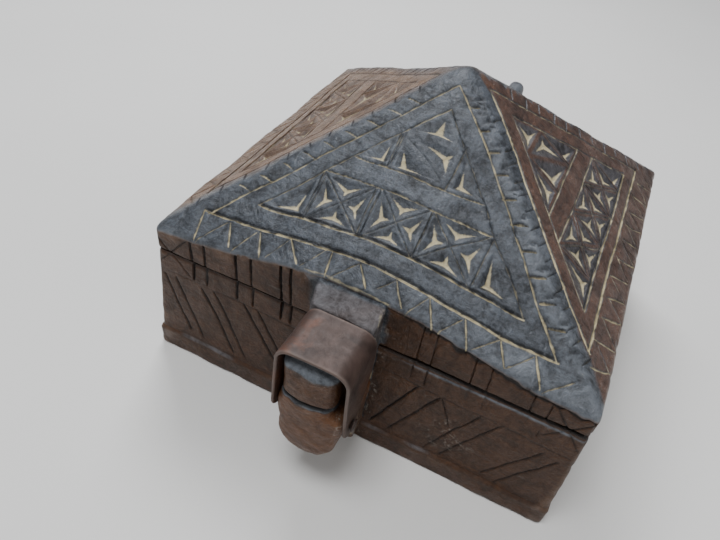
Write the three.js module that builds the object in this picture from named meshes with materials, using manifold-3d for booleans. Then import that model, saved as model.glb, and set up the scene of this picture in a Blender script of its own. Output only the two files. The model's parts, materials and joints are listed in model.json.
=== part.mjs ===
// A carved wooden bindi box: a square box cut from one block of wood, a hollowed pyramid lid that
// turns on an iron pin behind it, and an iron strap that swings over the tongue of the lid in front.
// Units are millimetres. +Z is up, -Y is the front with the strap, +X is to the right, and the
// origin is the middle of the ground under the box.
import * as THREE from 'three';
import * as BufferGeometryUtils from 'three/addons/utils/BufferGeometryUtils.js';
import Module from 'manifold-3d';

const wasm = await Module();
wasm.setup();

// Clearances.
const GAP = 0.3;                // between pieces that touch or slide on the real box
const BORE_GAP = 0.4;           // round a pin or a nail, between its surface and its hole
const FINEST = 0.03;            // slivers that the carving leaves are dropped below this size

// Box.
const HALF_WIDTH = 115;         // x, to the face of the lid's edge band and to the rim of the box
const HALF_DEPTH = 110.6;       // y, the same
const RIM_Z = 74.5;             // top of the box, where it parts from the lid
const WALL_LEAN = 2;            // the walls stand this much further out at their foot
const PLINTH_HEIGHT = 14.5;
const PLINTH_PROUD = 1.5;       // the plinth stands out this much from the foot of the walls
const WALL = 13;
const FLOOR = 12;

// Lid.
const BAND_HEIGHT = 14.5;       // the upright band round the lid, at its corners
const ARCH_RISE = 16.5;         // the eave rises this much in the middle of the front and the back
const ARCH_STEPS = 16;
const SLOPE_RISE = 80.9;        // from the eave's corners to where the four slopes would meet
const TIP_WORN = 1.2;           // the tip is worn down by this much
const TIP_ROUND = 3.2;          // the rounding of the tip starts this far below that meeting point
const LID_RIM = 15;             // thickness of the lid's rim at the parting line
const HOLLOW_HEIGHT = 37;       // from the parting line up to the flat ceiling

// Mirror and its frame.
const MIRROR_HALF_X = 48;
const MIRROR_HALF_Y = 44;
const MIRROR_THICK = 2.5;
const BATTEN_WIDTH = 10;
const BATTEN_THICK = 6.5;
const BATTEN_LAP = 3;           // the battens lap over the mirror's edge
const BRAD_RADIUS = 0.8;
const BRAD_HEAD_RADIUS = 1.9;
const BRAD_HEAD = 0.9;
const BRAD_BITE = 6;            // how far a brad goes into the lid
const BRAD_INSET = 16;          // from a batten's end to its brad
const FRAME_CLEAR = 6.5;        // from the frame to the edge of the hollow's flat ceiling

// Dividers.
const DIVIDER_THICK = 6;
const DIVIDER_BELOW_RIM = 7;
const DIVIDER_GROOVE = 3;       // depth of the grooves in the walls
const LONG_DIVIDER_Y = 18;
const CROSS_DIVIDER_X = 36;

// Front: blocks, tongues, strap.
const BLOCK_HALF = 17;          // half width of the blocks that stand out from both faces
const BLOCK_FLARE_LEFT = 4.5;   // the front blocks widen towards the wall on the left,
const BLOCK_TAPER_RIGHT = 2.5;  // and narrow towards it on the right, as they were carved
const FRONT_BLOCK_OUT = 17;     // how far they stand out from the rim's face in front
const BLOCK_TOP_ABOVE_RIM = 28.5;
const BLOCK_FOOT = 3;           // the lower block starts this far above the plinth
const TONGUE_OUT = 46;          // the tongues' noses stand out this far, in front and behind
const UPPER_TONGUE_LEFT = 14.1; // the lid's tongue stands a little left of the middle
const UPPER_TONGUE_RIGHT = 12.3;
const LOWER_TONGUE_TOP_HALF = 13.6;
const LOWER_TONGUE_FOOT_Z = 26.6; // lowest point of the lower tongue
const NOSE_ROUND = 4;           // the noses' corners lie this far back
const STRAP_SHEET = 1.5;
const STRAP_DEPTH = 28;         // along y
const STRAP_HALF = 16.1;        // inside half width under its top
const STRAP_SPLAY = 1.2;        // each leg stands out this much more at its nail
const STRAP_BEND = 6;           // inside radius of its two bends
const STRAP_LEG = 38.5;         // from the underside of its top down to the nails
const STRAP_END_RADIUS = 6.8;   // the rounded ends of the legs
const STRAP_SHOULDER = 15;      // straight part of the rear edge, below the top
const NAIL_BACK = 20;           // from the strap's rear edge forward to the nails
const NAIL_RADIUS = 1.6;
const NAIL_HEAD_RADIUS = 3.8;
const NAIL_HEAD = 1.4;
const NAIL_BITE = 9;            // how far a nail goes into the lower tongue

// Back: the hinge.
const HINGE_X = 5;              // the knuckle was carved to the right of the middle
const HINGE_OUT = 24.4;         // the pin's axis behind the rim's face, level with the rim
const PIN_RADIUS = 3;
const PIN_HEAD_RADIUS = 5;
const PIN_HEAD = 2;
const WASHER_RADIUS = 6.5;
const WASHER_THICK = 1.2;
const KNUCKLE_HALF = 5.7;       // the lid's rear tongue, which turns between the two ears
const KNUCKLE_ROUND = 4.2;      // rounding of its upper edges and of its end
const KNUCKLE_TOP = 25.5;       // above the rim
const KNUCKLE_UNDER = 12.5;     // radius of its underside round the pin
const EAR_THICK = 10.5;
const EAR_RADIUS = 12.9;        // the ears' rounded front, which the lid's block turns past
const EAR_TOP = 11.8;           // their flat top above the pin, which stops the lid past upright
const EAR_BACK = 14;            // behind the pin
const EAR_FLAT_BACK = 8;        // where the flat top ends, behind the pin
const REAR_BLOCK_OUT = 13.4;    // the block under the ears
const LID_BLOCK_HALF = 14;      // half width of the lid's block, in front of the ears
const REAR_BLOCK_TOP_BELOW_RIM = 25.5;

// Carving of the slopes. Distances up a slope are from its eave, seen from above, and distances
// in from a ridge run along the eave.
const LINE_HALF = 0.9;          // half width of a carved line
const LINE_DEPTH = 1.1;
const LINE_STEP = 24;           // on an arched slope a line's pieces are at most this wide
const CHIP_DEPTH = 2;           // a chip is a three-sided pit
const CHIP_INSET = 0.8;         // its size against the triangle that it fills
const LINE_PROUD = 0.8;         // the shape that cuts a line reaches this far out of the face
const FRAME_UP = 13;            // the outer frame line
const FRAME_IN = 10.5;
const INNER_UP = 21.5;          // the inner frame line
const INNER_IN = 22.8;
const BAND_FOOT = 44.5;         // the plain band between the two rows of chips
const BAND_TOP = 53.5;
const POST = 15.3;              // the upper row's two posts stand this far from its middle
const ZIGZAG_FOOT = 1.5;
const ZIGZAG_TOP = 11.3;
const ZIGZAG_REACH = 0.82;      // the zigzag's half length, as a share of the slope's
const ZIGZAG_TEETH = [11, 17, 11, 17]; // front, right, back, left

// Carving of the walls. Places along a wall are shares of its half length.
const UPRIGHTS = [0.305, 0.545, 0.785]; // pairs of upright strokes across the parting line
const PAIR_HALF = 3.9;          // from the middle of a pair to each stroke
const UPRIGHT_FOOT = 12;        // below the rim
const SLANTS = [0.21, 0.49, 0.755]; // feet of the pairs of slanting strokes
const SLANT_LEAN = 20;          // their heads stand this much nearer the corner
const SLANT_HEAD = 15.5;        // below the rim
const SLANT_FOOT = 4;           // above the plinth
const LEVEL_LINE = 13.8;        // the level line above them, below the rim
const LEVEL_FROM = 0.2;
const LEVEL_TO = 0.96;
const WALL_CUT = 0.8;           // depth of these strokes

// What follows from these.
const LID_Z = RIM_Z + GAP;                          // underside of the lid
const EAVE_Z = RIM_Z + BAND_HEIGHT;
const APEX_Z = EAVE_Z + SLOPE_RISE;
const CEILING_Z = LID_Z + HOLLOW_HEIGHT;
const BLOCK_TOP_Z = RIM_Z + BLOCK_TOP_ABOVE_RIM;
const FRONT_Y = -HALF_DEPTH;
const BLOCK_FRONT_Y = FRONT_Y - FRONT_BLOCK_OUT;
const NOSE_Y = FRONT_Y - TONGUE_OUT;
const STRAP_TOP_Z = BLOCK_TOP_Z;                    // outer face, flush with the lid's block
const NAIL_Z = STRAP_TOP_Z - STRAP_SHEET - STRAP_LEG;
const STRAP_REAR_Y = BLOCK_FRONT_Y - GAP;
const NAIL_Y = STRAP_REAR_Y - NAIL_BACK;
const TONGUE_TOP_Z = STRAP_TOP_Z - STRAP_SHEET - GAP;
const TONGUE_SWING = STRAP_LEG - GAP;               // the tongues stay this near the nails in front
const LEG_INSIDE = STRAP_HALF + STRAP_SPLAY;        // inside half width at the nails
const REAR_Y = HALF_DEPTH;
const PIN_Y = REAR_Y + HINGE_OUT;
const PIN_Z = RIM_Z;
const LID_BLOCK_REAR_Y = PIN_Y - EAR_RADIUS - BORE_GAP;
const EAR_INSIDE = KNUCKLE_HALF + GAP;
const EAR_OUTSIDE = EAR_INSIDE + EAR_THICK;

const WOOD = { color: 0x3a2a22, roughness: 0.5, metalness: 0 };
const INNER_WOOD = { color: 0x5d4030, roughness: 0.65, metalness: 0 };
const IRON = { color: 0x5c4a47, roughness: 0.6, metalness: 0.8 };
const GLASS = { color: 0xc9d2d4, roughness: 0.08, metalness: 1 };

// A closed mesh becomes a solid once the vertices its faces share are merged.
function solid(geometry) {
  const bare = geometry.clone();
  for (const name of Object.keys(bare.attributes)) {
    if (name !== 'position') bare.deleteAttribute(name);
  }
  const merged = BufferGeometryUtils.mergeVertices(bare, 1e-4);
  return new wasm.Manifold(new wasm.Mesh({
    numProp: 3,
    vertProperties: Float32Array.from(merged.attributes.position.array),
    triVerts: Uint32Array.from(merged.index.array),
  }));
}

function geometryOf(manifold) {
  const mesh = manifold.getMesh();
  const geometry = new THREE.BufferGeometry();
  geometry.setAttribute('position', new THREE.BufferAttribute(mesh.vertProperties, 3));
  geometry.setIndex(new THREE.BufferAttribute(mesh.triVerts, 1));
  geometry.computeVertexNormals();
  return geometry;
}

const sum = (parts) => parts.reduce((whole, part) => whole.add(part));
const without = (whole, cuts) => cuts.reduce((rest, cut) => rest.subtract(cut), whole);

// An outline of [a, b] points carried straight along the third axis.
function extruded(points, length, basis) {
  const shape = new THREE.Shape(points.map(([a, b]) => new THREE.Vector2(a, b)));
  const geometry = new THREE.ExtrudeGeometry(shape, { depth: length, bevelEnabled: false });
  return geometry.applyMatrix4(basis);
}

const axes = (a, b, c) => new THREE.Matrix4().makeBasis(
  new THREE.Vector3(...a), new THREE.Vector3(...b), new THREE.Vector3(...c));

// Outline in (y, z), from x0 to x1.
function alongX(points, x0, x1) {
  const basis = axes([0, 1, 0], [0, 0, 1], [1, 0, 0]).setPosition(x0, 0, 0);
  return solid(extruded(points, x1 - x0, basis));
}

// Outline in (x, z), from y0 to y1.
function alongY(points, y0, y1) {
  const basis = axes([1, 0, 0], [0, 0, 1], [0, -1, 0]).setPosition(0, y1, 0);
  return solid(extruded(points, y1 - y0, basis));
}

// Outline in (x, y), from z0 to z1.
function alongZ(points, z0, z1) {
  return solid(extruded(points, z1 - z0, new THREE.Matrix4().setPosition(0, 0, z0)));
}

function box(x0, x1, y0, y1, z0, z1) {
  const geometry = new THREE.BoxGeometry(x1 - x0, y1 - y0, z1 - z0);
  return solid(geometry.translate((x0 + x1) / 2, (y0 + y1) / 2, (z0 + z1) / 2));
}

// A four-sided block whose half sizes change evenly from its foot to its top.
function leaningBox(footX, footY, z0, topX, topY, z1) {
  const geometry = new THREE.BoxGeometry(2, 2, 1).translate(0, 0, 0.5);
  const place = geometry.attributes.position;
  for (let i = 0; i < place.count; i += 1) {
    const up = place.getZ(i);
    place.setXYZ(i, place.getX(i) * (footX + (topX - footX) * up),
      place.getY(i) * (footY + (topY - footY) * up), z0 + (z1 - z0) * up);
  }
  return solid(geometry);
}

// A round bar along X.
function barX(radius, x0, x1, y, z, sides = 24) {
  const geometry = new THREE.CylinderGeometry(radius, radius, x1 - x0, sides);
  return solid(geometry.rotateZ(Math.PI / 2).translate((x0 + x1) / 2, y, z));
}

// Points of an arc, with angles in degrees.
function arc(centreA, centreB, radius, from, to, steps) {
  return Array.from({ length: steps + 1 }, (_, i) => {
    const angle = THREE.MathUtils.degToRad(from + (to - from) * i / steps);
    return [centreA + radius * Math.cos(angle), centreB + radius * Math.sin(angle)];
  });
}

const mirrored = (points) => points.map(([a, b]) => [-a, b]).reverse();

// Carving. A face is a function from a place on it, u along it and v up it, to a point in space.

// A point at u along side 0 to 3 (front, right, back, left), this far out from the middle.
const upAxis = new THREE.Vector3(0, 0, 1);
const onSide = (side, u, out, z) =>
  new THREE.Vector3(u, -out, z).applyAxisAngle(upAxis, side * Math.PI / 2);

// A point at this distance out of the face.
function outOf(face, [u, v], distance) {
  const along = face(u + 1, v).sub(face(u - 1, v));
  const upward = face(u, v + 1).sub(face(u, v - 1));
  return face(u, v).addScaledVector(along.cross(upward).normalize(), distance);
}

const hull = (points) => wasm.Manifold.hull(points.map((point) => point.toArray()));

// What a knife lifts out along a line from a to b: a V, which runs out past both ends.
function stroke(face, [ua, va], [ub, vb], half = LINE_HALF, depth = LINE_DEPTH) {
  const length = Math.hypot(ub - ua, vb - va);
  const [du, dv] = [(ub - ua) / length, (vb - va) / length];
  const wide = half * (1 + LINE_PROUD / depth);
  const place = (along, off) => [ua + du * along - dv * off, va + dv * along + du * off];
  return hull([
    ...[-half, length + half].flatMap((along) => [-wide, wide]
      .map((off) => outOf(face, place(along, off), LINE_PROUD))),
    ...[0, length].map((along) => outOf(face, place(along, 0), -depth)),
  ]);
}

function strokes(count, face, [ua, va], [ub, vb]) {
  const place = (i) => [ua + (ub - ua) * i / count, va + (vb - va) * i / count];
  return Array.from({ length: count }, (_, i) => stroke(face, place(i), place(i + 1)));
}

// A pit with three facets that meet at its deepest point, a mean of its corners by weight. The
// shape that cuts it goes on as far out of the face as it goes in.
function chip(face, corners, weights = [1, 1, 1]) {
  const mean = (shares) => [0, 1].map((k) => corners.reduce(
    (total, corner, i) => total + corner[k] * shares[i], 0) / shares.reduce((a, b) => a + b));
  const between = (a, b, t) => [a[0] + (b[0] - a[0]) * t, a[1] + (b[1] - a[1]) * t];
  const middle = mean([1, 1, 1]);
  const deepest = outOf(face, between(middle, mean(weights), CHIP_INSET), -CHIP_DEPTH);
  const rims = corners.map((corner) => face(...between(middle, corner, CHIP_INSET)));
  return hull([deepest, ...rims.map((rim) => deepest.clone().lerp(rim, 2))]);
}

// The box and its lugs.

// A closed skin over rings of points that go round anticlockwise, from the lowest to the highest.
function loft(rings) {
  const count = rings[0].length;
  const middle = (ring) => [0, 1, 2].map((k) => ring.reduce((t, p) => t + p[k], 0) / count);
  const low = count * rings.length;
  const points = [...rings.flat(), middle(rings[0]), middle(rings.at(-1))];
  const faces = [];
  for (let i = 0; i < count; i += 1) {
    const j = (i + 1) % count;
    faces.push(low, j, i, low + 1, low - count + i, low - count + j);
    for (let a = 0; a + count < low; a += count) {
      faces.push(a + i, a + j, a + count + j, a + i, a + count + j, a + count + i);
    }
  }
  const geometry = new THREE.BufferGeometry();
  geometry.setAttribute('position', new THREE.Float32BufferAttribute(points.flat(), 3));
  geometry.setIndex(faces);
  return solid(geometry);
}

// The tongue below the parting line, rounded off below like a finger. Each level is a plan with
// straight flanks and a blunt round nose; it is widest at the nails, inside the strap's legs.
function lowerTongue() {
  const widest = LEG_INSIDE - GAP;
  const swept = widest - STRAP_SPLAY * 0.6;
  const round = 18;
  const levels = [...arc(0, 0, 1, 78, 12, 5).map(([a, b]) => LOWER_TONGUE_FOOT_Z + round * (1 - b)),
    LOWER_TONGUE_FOOT_Z + round, NAIL_Z - 6, NAIL_Z + 4, RIM_Z - 1.5, RIM_Z];
  const rings = levels.map((z) => {
    const down = Math.max(0, (LOWER_TONGUE_FOOT_Z + round - z) / round);
    const shrink = Math.sqrt(1 - down ** 2);
    let half = swept * (1 - 0.9 * (1 - shrink));
    if (z > NAIL_Z - 7) half = widest;
    if (z > NAIL_Z + 5) half = LOWER_TONGUE_TOP_HALF + (RIM_Z - z) * 0.2;
    const nose = NOSE_Y + 0.6 * (z < NAIL_Z ? (NAIL_Z - z) / 12 : 0) + 7 * (1 - shrink);
    const flank = NOSE_Y + NOSE_ROUND * 3.2;
    const blunt = 0.5 + 0.4 * down;
    const tip = arc(0, 0, 1, 180, 360, 14).map(([a, b]) => [
      half * Math.sign(a) * Math.abs(a) ** blunt, flank - (flank - nose) * Math.abs(b) ** blunt, z]);
    return [[-half, BLOCK_FRONT_Y + 4, z], ...tip, [half, BLOCK_FRONT_Y + 4, z]];
  });
  const side = [
    [NOSE_Y - 1, RIM_Z + 1], [NOSE_Y - 1, LOWER_TONGUE_FOOT_Z - 1],
    [NAIL_Y + 6, LOWER_TONGUE_FOOT_Z - 1], [BLOCK_FRONT_Y - 5, LOWER_TONGUE_FOOT_Z + 3],
    [BLOCK_FRONT_Y, LOWER_TONGUE_FOOT_Z + 7], [BLOCK_FRONT_Y + 4, LOWER_TONGUE_FOOT_Z + 9],
    [BLOCK_FRONT_Y + 4, RIM_Z + 1],
  ];
  return loft(rings).intersect(alongX(side, -BLOCK_HALF - 5, BLOCK_HALF + 5));
}

// The plan of the upper tongue, with a blunt round nose.
function nosePlan(left, right, z0, z1) {
  const side = (half) => [[0, NOSE_Y], [half * 0.55, NOSE_Y + 0.8],
    [half * 0.88, NOSE_Y + NOSE_ROUND * 0.6], [half, NOSE_Y + NOSE_ROUND * 1.5],
    [half, BLOCK_FRONT_Y + 4]];
  return alongZ([...side(right), ...mirrored(side(left)).slice(0, -1)], z0, z1);
}

// The block that carries a front tongue, let into the wall behind it.
function frontBlock(z0, z1) {
  const inWall = FRONT_Y + WALL / 2;
  return alongZ([
    [-BLOCK_HALF, BLOCK_FRONT_Y], [BLOCK_HALF, BLOCK_FRONT_Y],
    [BLOCK_HALF - BLOCK_TAPER_RIGHT, FRONT_Y], [BLOCK_HALF - BLOCK_TAPER_RIGHT, inWall],
    [-BLOCK_HALF - BLOCK_FLARE_LEFT, inWall], [-BLOCK_HALF - BLOCK_FLARE_LEFT, FRONT_Y],
  ], z0, z1);
}

// The two ears behind the box hold the pin. Their rounded fronts let the lid's block turn past,
// and the far corner of their flat tops stops it just past upright.
function ears() {
  const flat = THREE.MathUtils.radToDeg(Math.asin(EAR_TOP / EAR_RADIUS));
  const outline = [
    [REAR_Y - WALL / 2, PIN_Z], ...arc(PIN_Y, PIN_Z, EAR_RADIUS, 180, 180 - flat, 6),
    [PIN_Y + EAR_FLAT_BACK, PIN_Z + EAR_TOP], [PIN_Y + EAR_BACK, PIN_Z + EAR_TOP - 5],
    [PIN_Y + EAR_BACK, PIN_Z - 6], [PIN_Y + EAR_BACK - 5, PIN_Z - 12],
    [REAR_Y + REAR_BLOCK_OUT, RIM_Z - REAR_BLOCK_TOP_BELOW_RIM - 8],
    [REAR_Y - WALL / 2, RIM_Z - REAR_BLOCK_TOP_BELOW_RIM - 8],
  ].reverse();
  return [alongX(outline, HINGE_X - EAR_OUTSIDE, HINGE_X - EAR_INSIDE),
    alongX(outline, HINGE_X + EAR_INSIDE, HINGE_X + EAR_OUTSIDE)];
}

// Height of the eave: level along the sides, a low arch along the front and the back.
const eaveAt = (x) => EAVE_Z + ARCH_RISE * Math.cos(Math.PI * x / (2 * HALF_WIDTH)) ** 2;

const halfLength = (side) => (side % 2 ? HALF_DEPTH : HALF_WIDTH);
const halfAcross = (side) => (side % 2 ? HALF_WIDTH : HALF_DEPTH);
const SIDES = [0, 1, 2, 3];

// A wall of the box and the lid's band above it; v is the height.
const wallFace = (side) => (u, z) => {
  const lean = WALL_LEAN * Math.max(0, (RIM_Z - z) / (RIM_Z - PLINTH_HEIGHT));
  return onSide(side, u, halfAcross(side) + lean, z);
};

// Pairs of upright strokes cross the parting line, so the lid and the box share them.
function uprights() {
  return SIDES.flatMap((side) => [-1, 1].flatMap((way) => UPRIGHTS.flatMap((share) => [-1, 1]
    .map((mate) => {
      const u = way * share * halfLength(side) + mate * PAIR_HALF;
      const head = side % 2 ? EAVE_Z : eaveAt(u);
      return stroke(wallFace(side), [u, RIM_Z - UPRIGHT_FOOT], [u, head + 1], LINE_HALF, WALL_CUT);
    }))));
}

// Under a level line the walls carry pairs of slanting strokes, which spread from the middle.
function slants() {
  const head = RIM_Z - SLANT_HEAD;
  const foot = PLINTH_HEIGHT + SLANT_FOOT;
  return SIDES.flatMap((side) => [-1, 1].flatMap((way) => {
    const half = halfLength(side) * way;
    return [
      ...SLANTS.flatMap((share) => [-1, 1].map((mate) => {
        const u = half * share + mate * PAIR_HALF;
        return stroke(wallFace(side), [u, foot], [u + way * SLANT_LEAN, head], LINE_HALF, WALL_CUT);
      })),
      stroke(wallFace(side), [half * LEVEL_FROM, RIM_Z - LEVEL_LINE],
        [half * LEVEL_TO, RIM_Z - LEVEL_LINE], LINE_HALF / 2, WALL_CUT / 2),
    ];
  }));
}

function boxBody() {
  const footX = HALF_WIDTH + WALL_LEAN;
  const footY = HALF_DEPTH + WALL_LEAN;
  const insideX = HALF_WIDTH - WALL;
  const insideY = HALF_DEPTH - WALL;
  const groove = DIVIDER_THICK / 2 + GAP;
  const whole = sum([
    box(-footX - PLINTH_PROUD, footX + PLINTH_PROUD, -footY - PLINTH_PROUD, footY + PLINTH_PROUD,
      0, PLINTH_HEIGHT),
    leaningBox(footX, footY, PLINTH_HEIGHT - 1, HALF_WIDTH, HALF_DEPTH, RIM_Z),
    frontBlock(PLINTH_HEIGHT + BLOCK_FOOT, RIM_Z),
    lowerTongue(),
    box(HINGE_X - EAR_OUTSIDE, HINGE_X + EAR_OUTSIDE, REAR_Y - WALL / 2, REAR_Y + REAR_BLOCK_OUT,
      PLINTH_HEIGHT + BLOCK_FOOT, RIM_Z - REAR_BLOCK_TOP_BELOW_RIM),
    ...ears(),
  ]);
  return without(whole, [
    box(-insideX, insideX, -insideY, insideY, FLOOR, RIM_Z + 1),
    box(-insideX - DIVIDER_GROOVE, insideX + DIVIDER_GROOVE,
      LONG_DIVIDER_Y - groove, LONG_DIVIDER_Y + groove, FLOOR, RIM_Z + 1),
    ...[-1, 1].map((side) => box(side * CROSS_DIVIDER_X - groove, side * CROSS_DIVIDER_X + groove,
      -insideY - DIVIDER_GROOVE, insideY + DIVIDER_GROOVE, FLOOR, RIM_Z + 1)),
    ...[-1, 1].map((side) => {
      const mouth = side * (LEG_INSIDE + 1);
      const foot = side * (LEG_INSIDE - NAIL_BITE - 1);
      return barX(NAIL_RADIUS + GAP, Math.min(mouth, foot), Math.max(mouth, foot),
        NAIL_Y, NAIL_Z, 12);
    }),
    pinBore(EAR_OUTSIDE),
    ...uprights(),
    ...slants(),
  ]).asOriginal().simplify(FINEST);
}

// The hole for the hinge pin, through what lies within a half width of the knuckle's middle.
function pinBore(half) {
  return barX(PIN_RADIUS + BORE_GAP, HINGE_X - half - 1, HINGE_X + half + 1, PIN_Y, PIN_Z);
}

// The lid.

// Four slopes that run straight from the eave to one tip, over an upright band.
function lidBlock() {
  const xs = Array.from({ length: ARCH_STEPS + 1 },
    (_, i) => HALF_WIDTH * (2 * i / ARCH_STEPS - 1));
  const eave = [...xs.map((x) => [x, -HALF_DEPTH]), ...xs.map((x) => [-x, HALF_DEPTH])]
    .map(([x, y]) => [x, y, eaveAt(x)]);
  const share = (z) => (APEX_Z - TIP_ROUND - z) / (APEX_Z - z);
  const shoulder = eave.map(([x, y, z]) => [x * (1 - share(z)), y * (1 - share(z)),
    APEX_Z - TIP_ROUND]);
  const foot = eave.map(([x, y]) => [x, y, LID_Z]);
  const points = [...foot, ...eave, ...shoulder, [0, 0, LID_Z], [0, 0, APEX_Z - TIP_WORN]];
  const count = eave.length;
  const faces = [];
  for (let i = 0; i < count; i += 1) {
    const j = (i + 1) % count;
    faces.push(3 * count, j, i);
    for (const low of [0, count]) {
      faces.push(low + i, low + j, low + count + j, low + i, low + count + j, low + count + i);
    }
    faces.push(2 * count + i, 2 * count + j, 3 * count + 1);
  }
  const geometry = new THREE.BufferGeometry();
  geometry.setAttribute('position', new THREE.Float32BufferAttribute(points.flat(), 3));
  geometry.setIndex(faces);
  return solid(geometry);
}

// The lid's tongue in front, under the strap. Its nose slopes back at the top, where it is worn,
// so that it stays inside the circle in which the strap's top swings.
function upperTongue() {
  const corner = NAIL_Z + Math.sqrt(TONGUE_SWING ** 2 - (NAIL_Y - NOSE_Y - 4) ** 2);
  const side = [
    [BLOCK_FRONT_Y + 4, LID_Z], [BLOCK_FRONT_Y + 4, TONGUE_TOP_Z], [NAIL_Y + 3, TONGUE_TOP_Z],
    [NOSE_Y + 4, corner - 1.6], [NOSE_Y + 0.8, corner - 6.5], [NOSE_Y, corner - 13],
    [NOSE_Y + 0.6, LID_Z],
  ];
  // Its upper edges are rounded to lie inside the strap's two bends.
  const bendX = STRAP_HALF - STRAP_BEND;
  const bendZ = STRAP_TOP_Z - STRAP_SHEET - STRAP_BEND;
  const flank = (half) => {
    const start = THREE.MathUtils.radToDeg(Math.acos((half - bendX) / (STRAP_BEND - GAP)));
    return [[half, LID_Z], ...arc(bendX, bendZ, STRAP_BEND - GAP, start, 90, 5)];
  };
  const front = [...flank(UPPER_TONGUE_RIGHT), ...mirrored(flank(UPPER_TONGUE_LEFT))];
  return alongX(side, -BLOCK_HALF, BLOCK_HALF)
    .intersect(alongY(front, NOSE_Y - 1, BLOCK_FRONT_Y + 4))
    .intersect(nosePlan(UPPER_TONGUE_LEFT, UPPER_TONGUE_RIGHT, LID_Z - 1, TONGUE_TOP_Z + 1));
}

// The lid's rear tongue turns between the ears on the pin.
function knuckle() {
  const end = PIN_Y + (TONGUE_OUT - HINGE_OUT);
  const outline = [
    [REAR_Y - LID_RIM / 2, LID_Z], ...arc(PIN_Y, PIN_Z, KNUCKLE_UNDER, 180, 325, 12),
    [end - 0.8, PIN_Z + 6.5], [end, PIN_Z + 12], [end - 1.6, PIN_Z + KNUCKLE_TOP - 7],
    [end - 6, PIN_Z + KNUCKLE_TOP - 1.8], [end - 11, PIN_Z + KNUCKLE_TOP],
    [REAR_Y - LID_RIM / 2, PIN_Z + KNUCKLE_TOP],
  ];
  const top = PIN_Z + KNUCKLE_TOP;
  const round = (a, b, from, to) => arc(a, b, KNUCKLE_ROUND, from, to, 4);
  const left = HINGE_X - KNUCKLE_HALF;
  const right = HINGE_X + KNUCKLE_HALF;
  const foot = PIN_Z - KNUCKLE_UNDER - 1;
  const front = [[left, foot], [right, foot],
    ...round(right - KNUCKLE_ROUND, top - KNUCKLE_ROUND, 0, 90),
    ...round(left + KNUCKLE_ROUND, top - KNUCKLE_ROUND, 90, 180)];
  const plan = [[left, REAR_Y - LID_RIM], [right, REAR_Y - LID_RIM],
    ...round(right - KNUCKLE_ROUND, end - KNUCKLE_ROUND, 0, 90),
    ...round(left + KNUCKLE_ROUND, end - KNUCKLE_ROUND, 90, 180)];
  return alongX(outline, left, right)
    .intersect(alongY(front, REAR_Y - LID_RIM, end + 1))
    .intersect(alongZ(plan, foot - 1, top + 1));
}

// The hollow narrows evenly from the lid's rim to its flat ceiling, which is cut as large as the
// mirror's frame needs.
function hollow() {
  const footX = HALF_WIDTH - LID_RIM;
  const footY = HALF_DEPTH - LID_RIM;
  const topX = frameX + FRAME_CLEAR;
  const topY = frameY + FRAME_CLEAR;
  return leaningBox(footX + (footX - topX) / HOLLOW_HEIGHT, footY + (footY - topY) / HOLLOW_HEIGHT,
    LID_Z - 1, topX, topY, CEILING_Z);
}

// One slope of the lid, from its eave (v 0) to the tip.
const slopeFace = (side) => (u, v) => {
  const share = 1 - v / halfAcross(side);
  const eave = side % 2 ? EAVE_Z : eaveAt(u / share);
  return onSide(side, u, halfAcross(side) - v, eave * share + APEX_Z * (1 - share));
};

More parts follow.
